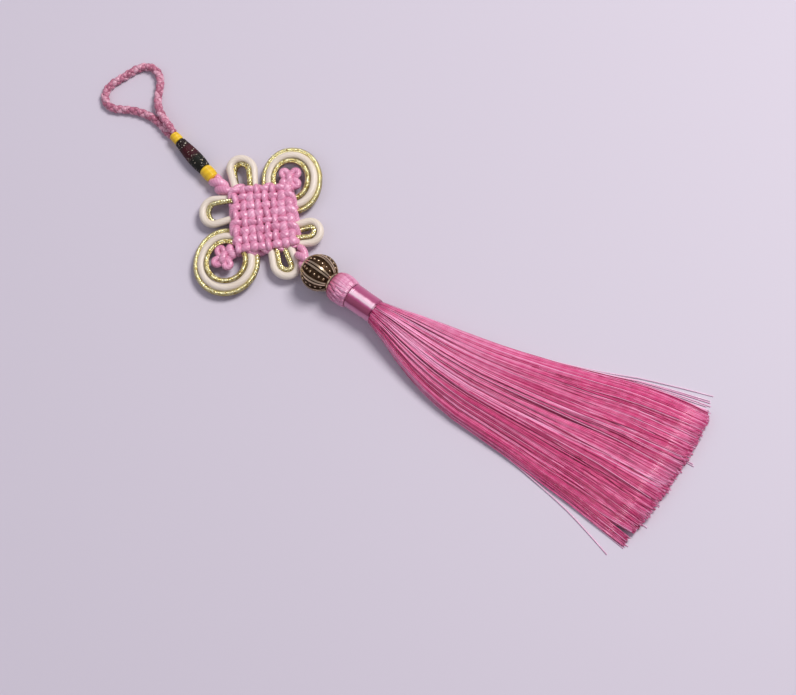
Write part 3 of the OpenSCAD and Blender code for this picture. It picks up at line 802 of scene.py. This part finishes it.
def addFlower(label, seed):
    turn, centre, spin, lumps = flowers[label]
    parts = []

    def lay(path, wide, high, angle):
        across = turned((0, 1, 0), angle + turn + layout["knotTurn"])
        parts.append(tubes(fromCorner(path, turn), wide, high, flowers["sides"], across=across))

    middle = [*centre, 0]
    half = np.array(flowers["loop"])
    loop = smoothRoute(np.vstack([half, half[-2::-1] * [1, -1, 1]]), 44)
    for k in range(4):
        angle = 90 * k + spin
        lay(turned(loop, angle) + middle, flowers["cord"], flowers["cord"], angle)
    cross = flowers["crossing"]
    arch = np.linspace(-1, 1, 16)
    crossing = np.stack([arch * cross["half"], 0 * arch, cross["top"] - cross["arch"] * arch ** 2], axis=1)
    for angle, way in ((spin + 45, 1), (spin - 45, -1)):
        lay(turned(crossing * [1, 1, way], angle) + middle, cross["wide"], cross["high"], angle)
    lump = flowers["lump"]
    t = np.linspace(0, 1, 22)
    path = np.stack([(2 * t - 1) * lump["half"], 0 * t, lump["lift"] + 0 * t], axis=1)
    for x, y in lumps:
        angle = math.degrees(math.atan2(centre[1] - y, centre[0] - x)) + lump["turn"]
        lay(turned(path, angle) + [x, y, 0], egg(t, lump["wide"]), egg(t, lump["high"]), angle)
    addPiece(label + "FlowerKnot", joined(parts), pinkCord, [label + "_flower"], seed)


addFlower("left", 7)
addFlower("right", 8)
print("corner flowers tied")


# Petals. Small ones: side, mirrored, legs' middle along the side, out, base, crest, lean of the
# crest, and where the gold cord lies round the cream one at both legs, in degrees up from inside.
petals = {
    "creamD": 2.1, "goldD": 1.5, "legEnd": -0.5, "pressed": 0.1, "creamSides": 24,
    "small": [
        (-45, False, 3.85, 10.0, 2.75, 3.5, -0.6, (58, -78)),
        (45, True, 5.3, 9.7, 2.6, 3.25, 0.3, (-78, 52)),
        (135, False, 4.95, 9.2, 2.7, 3.25, -1.1, (12, 12)),
        (-135, True, 3.5, 7.5, 2.7, 3.05, 0.25, (-12, 30)),
    ],
    # turn of the corner, centre and radius of the outer ring, its stretch both ways
    "left": (135, 2.8, 2.0, 9.0, (0.98, 0.99)),
    "right": (-45, -0.1, 1.7, 8.7, (0.93, 1.06)),
    # shift towards the knot, how much smaller, lift
    "outerGold": (0, 0.12, -0.4),
    "cream": (0, 1.75, 0),
    "innerGold": (0.1, 3.4, 0.75),
    "goldBraid": {"strand": 0.35, "flat": 0.6, "each": 4, "turnLen": 3.2, "perTurn": 24,
                  "sides": 6, "taper": 0.0, "core": 0.51, "coreSides": 8},
}
petals["goldBraid"]["thick"] = petals["goldD"]


# Cream route of a small petal: a round crest about the origin with two legs, then leaned over.
def smallPetal(along, out, base, radius, lean):
    centre = out - petals["creamD"] / 2 - radius
    foot = np.array([base, petals["legEnd"] - centre, 0])
    start = math.atan2(foot[1], foot[0]) + math.acos(radius / math.hypot(foot[0], foot[1]))
    angles = np.linspace(start, math.pi - start, 40)
    crest = np.stack([radius * np.cos(angles), radius * np.sin(angles), 0 * angles], axis=1)
    route = evenRoute(np.vstack([foot, crest, foot * [-1, 1, 1]]), 90) + [along, centre, 0]
    route[:, 0] += lean * np.clip(route[:, 1] / centre, 0, 1.6)
    return route


# Gold beside the cream, turning from one side of it to the other.
def goldBeside(route, places):
    inside = np.cross([0, 0, 1.0], unit(np.gradient(route, axis=0)))
    apart = (petals["creamD"] + petals["goldD"]) / 2 - petals["pressed"]
    turnAt = np.radians(places[0] + (places[1] - places[0]) * ease(np.linspace(0, 1, len(route))))
    return route + inside * (apart * np.cos(turnAt))[:, None] + [0, 0, apart] * np.sin(turnAt)[:, None]


def bigPetal(label, cord):
    turn, x, y, radius, stretch = petals[label]
    shift, smaller, lift = petals[cord]
    x, y = x - shift, y - shift
    wide, tall = ((radius - smaller) * s for s in stretch)
    end = petals["legEnd"]
    angles = np.linspace(-math.acos((end - x) / wide), math.pi / 2 + math.acos((end - y) / tall), 110)
    route = np.stack([wide * np.cos(angles), tall * np.sin(angles), 0 * angles], axis=1)
    return fromCorner(route + [x, y, lift], turn)


def addGold(name, route, node, seed):
    addPiece(name, braid(route, petals["goldBraid"])[0], goldCord, [node], seed)


def addCream(name, route, node, seed):
    cord = tubes(route, petals["creamD"] / 2, sides=petals["creamSides"])
    addPiece(name, cord, creamCord, [node], seed)


for index, (turn, mirrored, *shape, goldPlaces) in enumerate(petals["small"], 1):
    cream = smallPetal(*shape)
    addCream("smallPetalCream" + str(index), fromCorner(cream, turn, -1, mirrored),
             "small_petal_cream_" + str(index), 20 + index)
    addGold("smallPetalGold" + str(index), fromCorner(goldBeside(cream, goldPlaces), turn, -1, mirrored),
            "small_petal_gold_" + str(index), 30 + index)
for label in ("left", "right"):
    addGold(label + "PetalOuterGold", bigPetal(label, "outerGold"), label + "_petal_outer_gold", 41)
    addCream(label + "PetalCream", bigPetal(label, "cream"), label + "_petal_cream", 42)
    addGold(label + "PetalInnerGold", bigPetal(label, "innerGold"), label + "_petal_inner_gold", 43)
print("petals laid")


# Bead: cast form from the part, with polished high places and dark patina in the low ones.
bronze = {"low": 4.76, "high": 5.16, "centre": (layout["beadX"], layout["beadY"], layout["beadZ"])}


def antiqueBronze():
    board = NodeBoard("antiqueBronze")
    offset = board.add("ShaderNodeVectorMath", operation="SUBTRACT")
    board.put(offset, 0, board.add("ShaderNodeNewGeometry").outputs["Position"])
    board.put(offset, 1, [c * mm for c in bronze["centre"]])
    length = board.add("ShaderNodeVectorMath", operation="LENGTH")
    board.put(length, 0, offset.outputs["Vector"])
    reach = board.add("ShaderNodeMapRange")
    board.put(reach, "Value", length.outputs["Value"])
    board.put(reach, "From Min", bronze["low"] * mm)
    board.put(reach, "From Max", bronze["high"] * mm)
    worn = board.times(board.minus(board.noise(900, 4.0), 0.5), 0.7)
    height = board.plus(reach.outputs["Result"], worn, True)
    colour = board.ramp(height, [(0.0, (0.04, 0.022, 0.011)), (0.3, (0.15, 0.09, 0.05)),
                                 (0.6, (0.4, 0.28, 0.17)), (1.0, (0.72, 0.56, 0.38))])
    return board.finished({
        "Base Color": colour, "Roughness": board.ramp(height, [(0.0, grey(0.65)), (1.0, grey(0.24))]),
        "Normal": board.bump(board.noise(2600, 3.0), 0.25), "Metallic": 1.0})


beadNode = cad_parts["bronze_bead"]
bronzeFinish = antiqueBronze()
if not beadNode.material_slots:
    beadNode.data.materials.append(bronzeFinish)
for slot in beadNode.material_slots:
    slot.material = bronzeFinish
print("bead finished")


# Tassel cap: threads folded over the tassel's head, gathered into the band.
cap = {
    "radius": 4.35, "z": 4.45, "threads": 96, "thread": 0.36,
    "shape": [(0, 0.7), (0.03, 0.8), (0.1, 0.89), (0.2, 0.95), (0.35, 0.985), (0.55, 0.985),
              (0.75, 0.96), (0.9, 0.92), (1, 0.86)],
    "edge": (0.12, 0.1),    # where threads and body start inside the cap's length
    "short": 0.2,           # what both leave of that length
    "uneven": (0.03, 0.05),     # the threads' angle in radians, and their radius
    "sway": 0.1,
    "pleats": 7, "pleatDepth": 0.1,
    # creases on the side away from the light: angle, slant, depth, in degrees and mm
    "creases": [(108, 24, 0.45), (128, 34, 0.8), (147, 30, 0.65), (165, 34, 0.8), (184, 24, 0.55)],
    "creaseWidth": 5.0,
    "core": 0.62,           # how far the body lies below the threads
}


def addCap():
    rng = np.random.default_rng(15)
    t = np.linspace(0, 1, 34)
    radius = cap["radius"] * np.interp(t, *np.array(cap["shape"]).T)
    threadY, coreY = (layout["capY"] - edge - (layout["capLen"] - cap["short"]) * t for edge in cap["edge"])
    atAngle, atRadius = cap["uneven"]
    paths = []
    for k in range(cap["threads"]):
        angle = fullTurn * k / cap["threads"] + rng.normal(0, atAngle)
        slant = angle + cap["sway"] * np.sin(t * rng.uniform(2, 5) + rng.uniform(0, 6)) * t
        # Slanting folds on the side away from the light.
        shade = 0.5 - 0.5 * np.sin(slant - 0.3)
        r = radius - cap["thread"] * 0.8
        r = r - cap["pleatDepth"] * shade * (1 + np.sin(slant * cap["pleats"] + t * 7))
        for at, slope, depth in cap["creases"]:
            off = (np.degrees(angle) - at - slope * (t - 0.5)) / cap["creaseWidth"]
            r = r - depth * np.exp(-off ** 2) * np.sin(math.pi * np.clip(t * 1.1 - 0.02, 0, 1)) ** 0.6
        r = r + rng.normal(0, atRadius)
        paths.append(alongY(threadY, cap["z"], r, slant))
    threads = tubes(atBead(np.array(paths)), cap["thread"], sides=8)
    core = tubes(atBead(alongY(coreY, cap["z"])), radius - cap["core"], sides=40, roundEnds=False)
    # Its map is shortened along, so the painted root shade darkens nearly all of the body under the
    # threads.
    core["uvs"][:, 1] *= 0.1
    addPiece("tasselCapThreads", joined([threads, core]), capThread, ["tassel_cap"], 9)


addCap()
print("cap gathered")


# Satin band: a ribbon wound round the gathered threads, its layers stepping at the edges.
band = {
    "z": 4.3,
    # radius at both ends, first and last angle in degrees, start and end along the band
    "layers": [
        ((3.5, 3.36), 0, 360, 0.0, 8.3),
        ((3.68, 3.6), -100, 128, 0.0, 7.9),
        ((3.82, 3.76), 61, 132, 0.5, 8.1),
    ],
    "thick": 0.14,
    "rolledEdge": 0.06,
    "tightness": 0.025,
    # painted highlight and painted shade: share of the way round from the +X side, colour
    "paintedLightStrips": [
        (0.0, (0.62, 0.2, 0.36)), (0.06, (0.46, 0.07, 0.2)), (0.19, (0.42, 0.06, 0.18)),
        (0.215, (0.96, 0.58, 0.73)), (0.257, (0.99, 0.76, 0.86)), (0.28, (0.52, 0.07, 0.24)),
        (0.302, (0.27, 0.013, 0.08)), (0.372, (0.24, 0.012, 0.075)), (0.394, (0.62, 0.17, 0.34)),
        (0.5, (0.72, 0.3, 0.46)), (1.0, (0.66, 0.22, 0.38)),
    ],
    "weftPerMm": 5.5,
}


# One layer of the ribbon: its outer and inner faces, joined along all four edges.
def ribbonLayer(row):
    (r0, r1), first, last, y0, y1 = row
    angles = np.radians(np.linspace(first, last, 73 if last - first >= 360 else 49))
    ys = np.linspace(y0, y1, 28)
    t = (ys - y0) / (y1 - y0)
    n, m = len(ys), len(angles)
    faces = []
    for depth in (0, band["thick"]):
        # The edges roll in a little and the ribbon is pulled tight in places.
        r = r0 + (r1 - r0) * t - depth - band["rolledEdge"] * (np.exp(-t * 40) + np.exp(-(1 - t) * 40))
        r = r[:, None] + band["tightness"] * np.sin(3 * angles + 1) * np.sin(t * 9)[:, None]
        faces.append(alongY((bandY - ys)[:, None], band["z"], r, angles).reshape(-1, 3))
    quads = gridQuads(n, m)
    quads = [quads, quads[:, [0, 3, 2, 1]] + n * m]
    rim, edge, through = np.arange(m - 1), np.arange(n - 1) * m, n * m
    for start, step, over in ((rim, 1, through), (rim + (n - 1) * m + through, 1, -through),
                              (edge, m, through), (edge + m - 1, m, through)):
        quads.append(np.stack([start, start + step, start + step + over, start + over], axis=1))
    quads = np.concatenate(quads)
    along, around = np.tile(np.repeat(ys, m), 2), np.tile(angles, n * 2)
    uvs = np.stack([around[quads] / fullTurn, along[quads]], axis=-1).reshape(-1, 2)
    verts = np.concatenate(faces)
    return {"verts": atBead(verts), "quads": quads, "uvs": uvs, "caps": [],
            "strand": np.zeros(len(verts), int)}


def satinRibbon():
    board = NodeBoard("satinRibbon")
    u, v = board.threadUv()
    weft = board.waves(board.times(v, band["weftPerMm"] * fullTurn))
    patches = board.noise(500, 3.0)
    # Painted highlight and painted shade: the satin lies light and dark in strips round the band.
    around = board.maths("FRACT", board.plus(u, 1.0))
    uneven = board.plus(around, board.times(board.minus(patches, 0.5), 0.02))
    colour = board.mix(board.times(weft, 0.12), board.ramp(uneven, band["paintedLightStrips"]), (0.9, 0.5, 0.66))
    return board.finished({
        "Base Color": colour, "Normal": board.bump(weft, 0.1), "Metallic": 0.25, "Roughness": 0.3,
        "Specular IOR Level": 0.6, "Coat Weight": 0.25, "Coat Roughness": 0.22})


addPiece("satinBandRibbon", joined([ribbonLayer(row) for row in band["layers"]]), satinRibbon(),
         ["satin_band"])
print("band wound")


# Tassel skirt: threads fanned out flat from the band. Shares across are from -1 to 1.
skirt = {
    "length": 90, "width": 42.5, "bow": 2, "swing": 6, "bend": 0.12,
    # distance share, half width share, middle shift, bottom, top, flatness, bow share
    "rows": [
        (0, 0.157, 0, 0.85, 7.5, 0, 0), (0.03, 0.185, 0, 0.45, 7.7, 0.1, 0),
        (0.07, 0.245, -0.3, 0.1, 7.2, 0.25, 0.02), (0.12, 0.32, -0.8, 0, 6.4, 0.4, 0.05),
        (0.19, 0.4, -1.6, 0, 5.7, 0.55, 0.1), (0.27, 0.475, -2.3, 0, 5.1, 0.7, 0.17),
        (0.36, 0.54, -2.5, 0, 4.6, 0.8, 0.25), (0.46, 0.6, -2.1, 0, 4.2, 0.9, 0.36),
        (0.57, 0.675, -1.5, 0, 3.8, 1, 0.48), (0.68, 0.765, -0.9, 0, 3.4, 1, 0.62),
        (0.79, 0.86, -0.1, 0, 3.1, 1, 0.76), (0.9, 0.94, 0, 0, 2.8, 1, 0.9), (1, 1, 0, 0, 2.5, 1, 1),
    ],
    "threads": 1900, "thread": 0.16, "rings": 17, "sides": 3, "locks": 140, "layers": (0.72, 1.0),
    "ragged": (0.007, 0.003, 0.007),     # how unevenly threads and locks are cut, as shares of the length
    # longer towards +X, and cut in slanted steps: their number, depth and how much that varies
    "reach": (0.0135, 0.0125), "wedges": (15, 0.011, (0.1, 1.8)),
    "short": (0.03, 0.1),       # share of threads that end early, and by how much
    "lockWidth": 0.014, "lockDrift": 0.03, "waver": 0.012, "fanOut": 0.05,
    "gather": (0.28, 0.75),     # how far a lock draws together, and where it has spread out again
    "looseEdge": (0.75, 0.45),  # from here towards +X the threads draw in, by this share at the cut
    "standOff": (-0.78, -0.91, 0.55, 0.68),     # a gap beside the last lock: its range, shift and start
    "rise": 0.08, "wave": 0.04, "lowest": 0.12,
    "paintedGlints": 0.12, "darks": 0.12, "shadedDarks": 0.35,     # shares of threads painted light as glints, of dark threads, and of threads painted dark as shade towards the -1 edge
    "paintedGlintTone": 1.1, "darkTone": 0.0,
    "tones": (0.17, 0.25, 0.4),     # lowest tint of the others, what a lock adds and what a thread adds
    "uneven": (0.75, 0.5),      # thinnest thread as a share, and what it may have more
}


# Place and direction of the skirt's middle line at distance s.
def skirtLine(s):
    swing = math.radians(skirt["swing"])
    bend = skirt["bend"] * skirt["length"]
    radius = bend / swing
    angle = swing * np.minimum(1, s / bend)
    rest = np.maximum(0, s - bend)
    x = radius * (1 - np.cos(angle)) + rest * np.sin(angle)
    y = -radius * np.sin(angle) - rest * np.cos(angle)
    return x, y, angle


# Point of the skirt at share t of its length; u runs from -1 to 1 across, w from 0 to 1 up.
def skirtPoint(t, u, w):
    rows = np.array(skirt["rows"])
    half, shift, low, high, flat, bow = (np.interp(t, rows[:, 0], rows[:, k]) for k in range(1, 7))
    crown = np.sqrt(1 - np.minimum(1, np.abs(u)) ** 2)
    middle = low + (high - low) * (0.5 - 0.25 * flat)
    top = middle + (high - middle) * crown ** (1 - 0.3 * flat)
    under = middle - (middle - low) * crown ** (1 - 0.6 * flat)
    across = shift + half * skirt["width"] / 2 * u
    x, y, angle = skirtLine(t * skirt["length"])
    ahead = bow * skirt["bow"] * crown ** 2
    px = x + across * np.cos(angle) + ahead * np.sin(angle)
    py = y + across * np.sin(angle) - ahead * np.cos(angle)
    return np.stack([px, py + skirtY, under + (top - under) * w], axis=-1)


# Loose threads, drawn together in locks that ride higher or lower and spread out again at the cut.
def skirtThreads(rng, bottom, top):
    count, rings, locks = skirt["threads"], skirt["rings"], skirt["locks"]
    back, about, aboutLock = skirt["ragged"]
    lockPlace = np.sort(rng.uniform(-1, 1, locks))
    lockRise = rng.normal(0, 1, locks)
    lockDrift = rng.normal(0, skirt["lockDrift"], locks)
    lockTone = rng.uniform(0, 1, locks)
    lockEnd = -np.abs(rng.normal(0, aboutLock, locks))
    member = rng.integers(0, locks, count)
    place = lockPlace[member][:, None]

    # Where each thread is cut.
    end = 1 - np.abs(rng.normal(0, back, (count, 1))) + rng.normal(0, about, (count, 1))
    steps, drop, vary = skirt["wedges"]
    wedge = (place + 1) / 2 * steps
    drops = rng.uniform(*vary, steps + 1)
    end = end + lockEnd[member][:, None] + skirt["reach"][0] + skirt["reach"][1] * place
    end = end - drop * drops[wedge.astype(int)] * (wedge % 1)
    share, shorter = skirt["short"]
    short = rng.random((count, 1)) < share
    end = np.where(short, end - rng.random((count, 1)) * shorter, end)
    t = np.linspace(0, 1, rings)[None] * end

    # Where it lies across the fan.
    u0 = place + rng.normal(0, skirt["lockWidth"], (count, 1))
    u0 = np.where(np.abs(u0) > 1, np.sign(u0) * (2 - np.abs(u0)), u0)
    drawn, until = skirt["gather"]
    gather = np.sin(np.clip(t / until, 0, 1) * math.pi) ** 0.7
    spread = rng.normal(0, skirt["fanOut"], (count, 1)) * t ** 2
    u = u0 + (place - u0) * drawn * gather + spread + lockDrift[member][:, None] * np.sin(t * math.pi)
    u = u + rng.normal(0, skirt["waver"], (count, 1)) * np.sin(t * 5)
    edge, drawnIn = skirt["looseEdge"]
    u = np.where(u > edge, edge + (u - edge) * (1 - drawnIn * t ** 3), u)
    inner, outer, shift, start = skirt["standOff"]
    last = u[:, -1:]
    apart = ((last < inner) & (last > outer)) * np.clip((t - start) / (1 - start), 0, 1) ** 2
    u = u + (inner - last) * shift * apart

    # How high it rides.
    w = bottom + (top - bottom) * rng.random((count, 1))
    w = w + skirt["rise"] * lockRise[member][:, None] * np.minimum(1, t * 12) * (0.8 + 0.3 * t)
    w = w + skirt["wave"] * np.sin(t * 7 + rng.uniform(0, 6, (count, 1)))
    points = skirtPoint(t, np.clip(u, -1.03, 1.03), np.clip(w, 0.03, 1.12))
    points[..., 2] = np.maximum(points[..., 2], skirt["lowest"])

    thinnest, more = skirt["uneven"]
    thick = skirt["thread"] * (thinnest + more * rng.random((count, 1)))
    lowest, byLock, byThread = skirt["tones"]
    tones = byLock * lockTone[member] + lowest + byThread * rng.random(count)
    # Painted shade: dark threads grow more common towards the -1 edge, the side away from the light. Glint
    # threads are painted highlights.
    kind = rng.random(count)
    dark = skirt["darks"] + skirt["shadedDarks"] * np.clip((-u0[:, 0] - 0.45) / 0.55, 0, 1)
    tones = np.where(kind > 1 - dark, skirt["darkTone"], tones)
    tones = np.where(kind < skirt["paintedGlints"], skirt["paintedGlintTone"], tones)
    return tubes(atBead(points), thick, sides=skirt["sides"], spin=math.pi / 2, roundEnds=False), tones


# Threads that leave the fan at its edges and at the cut: place at the band, at the tip, and reach.
strays = {
    "threads": [
        (-0.97, -1.25, 0.968), (-1.0, -1.06, 1.0), (-1.0, -1.04, 0.99),
        (-0.98, -1.03, 1.0), (-0.9, -1.0, 1.01), (0.26, 0.26, 1.036), (0.3, 0.28, 1.03),
        (-0.3, -0.36, 1.01), (-0.62, -0.68, 1.018),
        (1.0, 1.16, 1.002), (0.99, 1.1, 1.0), (1.0, 1.075, 1.004), (0.98, 1.04, 1.01), (0.99, 1.015, 1.0),
        (0.97, 0.985, 1.012), (0.98, 0.965, 1.006), (0.96, 0.945, 1.012), (0.97, 0.925, 1.01),
    ],
    "leave": (3.0, 2.0),        # how late they leave, and the same near the +X edge
    "wave": 0.008, "up": 0.3, "sink": 0.7, "lowest": 0.14,
    "thin": 0.85, "rings": 24, "sides": 4,
    "tones": (1.2, 0.8),        # palest of all: lowest tint, and what it may have more
}


def strayThreads(rng):
    t = np.linspace(0, 1, strays["rings"])
    swing = math.radians(skirt["swing"])
    paths = []
    for start, end, reach in strays["threads"]:
        leave = strays["leave"][1 if end > 0.9 else 0]
        curve = start + (end - start) * t ** leave + strays["wave"] * np.sin(t * rng.uniform(4, 9))
        point = skirtPoint(np.minimum(t * reach, 1), curve, strays["up"] + 0 * t)
        past = np.maximum(0, t * reach - 1) * skirt["length"]
        point[:, 0] += past * math.sin(swing)
        point[:, 1] -= past * math.cos(swing)
        point[:, 2] = np.maximum(strays["lowest"], point[:, 2] * (1 - strays["sink"] * t))
        paths.append(point)
    low, more = strays["tones"]
    threads = tubes(atBead(np.array(paths)), skirt["thread"] * strays["thin"], sides=strays["sides"],
                    roundEnds=False)
    return threads, low + more * rng.random(len(paths))


# Body of packed threads under the loose ones, thinner towards the cut and ending before it.
packed = {
    "rings": 46, "around": 96, "end": 0.97, "lowest": 0.05,
    "ringMap": 2.0,             # length of a ring on the thread map
    "narrow": (0.97, 0.11),     # half width at the band, and how much less at the cut
    "up": 0.93, "down": 0.02,   # its top and underside, as shares of the skirt's height
    "groove": 0.05, "grooves": 37,
    "thinFrom": 0.6, "thin": 0.7, "thinTo": 0.25,
}


def skirtCore():
    t = np.linspace(0, packed["end"], packed["rings"])[:, None]
    angle = np.linspace(0, fullTurn, packed["around"], endpoint=False)
    u = -np.cos(angle) * (packed["narrow"][0] - packed["narrow"][1] * t)
    w = np.where(np.sin(angle) > 0, packed["up"], packed["down"])
    groove = np.sin(angle * packed["grooves"] + 1.3) * np.sin(angle) ** 2
    w = np.clip(w + packed["groove"] * groove * np.minimum(1, t * 8), 0, 1)
    late = np.clip((t / packed["end"] - packed["thinFrom"]) / (1 - packed["thinFrom"]), 0, 1)
    thin = 1 - packed["thin"] * ease(late)
    w = np.where(w > 0.5, w * thin + packed["thinTo"] * (1 - thin), w)
    verts = atBead(skirtPoint(t + 0 * u, u, w).reshape(-1, 3))
    verts[:, 2] = np.maximum(verts[:, 2], packed["lowest"])
    length = np.arange(packed["rings"])[None] * packed["ringMap"]
    return {"verts": verts, **tubeFaces(length, packed["around"])}


def skirtBody():
    board = NodeBoard("skirtBody")
    u, v = board.threadUv()
    vector = board.add("ShaderNodeCombineXYZ")
    board.put(vector, 0, board.times(u, 160.0))
    board.put(vector, 1, board.times(v, 0.03))
    streaks = board.noise(3.0, 4.0, vector.outputs[0])
    # Painted shade: the packed body is coloured darker than the loose threads, as the shade beneath them.
    # Its streaks are thread texture.
    colour = board.ramp(streaks, [(0.3, (0.26, 0.02, 0.075)), (0.5, (0.56, 0.09, 0.22)),
                                  (0.72, (0.85, 0.28, 0.48))])
    return board.finished({
        "Base Color": colour, "Normal": board.bump(streaks, 0.9, distance=0.0004), "Roughness": 0.4,
        "Sheen Weight": 0.2, "Sheen Tint": (1.0, 0.8, 0.9, 1)})


def addSkirt():
    rng = np.random.default_rng(5)
    addPiece("skirtPackedThreads", skirtCore(), skirtBody(), ["tassel_skirt"])
    middle, top = skirt["layers"]
    upper, upperTones = skirtThreads(rng, middle, top)
    lower, lowerTones = skirtThreads(rng, 0.0, middle)
    loose, looseTones = strayThreads(rng)
    addPiece("skirtUpperThreads", upper, skirtThread, tints=upperTones)
    addPiece("skirtLowerThreads", joined([lower, loose]), skirtThread,
             tints=np.concatenate([lowerTones, looseTones]))


addSkirt()
print("skirt fanned")


# Table and light
studio = {
    "floor": (0.65, 0.6, 0.68),
    "floorHalf": 3.0,
    "world": (0.9, 0.86, 1.0),
    "worldStrength": 0.36,
    "aim": (0, 0.02, 0),
    # place relative to the object in metres, size, power, colour
    "lights": [
        ("keyLight", (0.6, -0.18, 0.86), 0.42, 9.4, (1.0, 0.98, 0.97)),
        ("fillLight", (-0.5, 0.55, 0.7), 0.8, 0.7, (0.93, 0.93, 1.0)),
    ],
}


def addFloor():
    board = NodeBoard("paleTable")
    darker = tuple(c * 0.98 for c in studio["floor"])
    colour = board.ramp(board.noise(3.0, 2.0), [(0.3, darker), (0.7, studio["floor"])])
    half = studio["floorHalf"]
    mesh = bpy.data.meshes.new("paleTable")
    mesh.from_pydata([(-half, -half, 0), (half, -half, 0), (half, half, 0), (-half, half, 0)], [],
                     [(0, 1, 2, 3)])
    mesh.materials.append(board.finished({"Base Color": colour, "Roughness": 0.6}))
    newObject("paleTable", mesh)


def addLights():
    bpy.context.scene.view_settings.view_transform = "Standard"
    world = bpy.data.worlds.new("paleRoom")
    bpy.context.scene.world = world
    world.use_nodes = True
    background = world.node_tree.nodes["Background"]
    background.inputs["Color"].default_value = (*studio["world"], 1)
    background.inputs["Strength"].default_value = studio["worldStrength"]
    for name, place, size, power, colour in studio["lights"]:
        data = bpy.data.lights.new(name, "AREA")
        data.shape = "DISK"
        data.size = size
        data.energy = power
        data.color = colour
        light = newObject(name, data)
        light.location = place
        light.rotation_euler = (Vector(studio["aim"]) - Vector(place)).to_track_quat("-Z", "Y").to_euler()


addFloor()
addLights()
print("table and lights set")
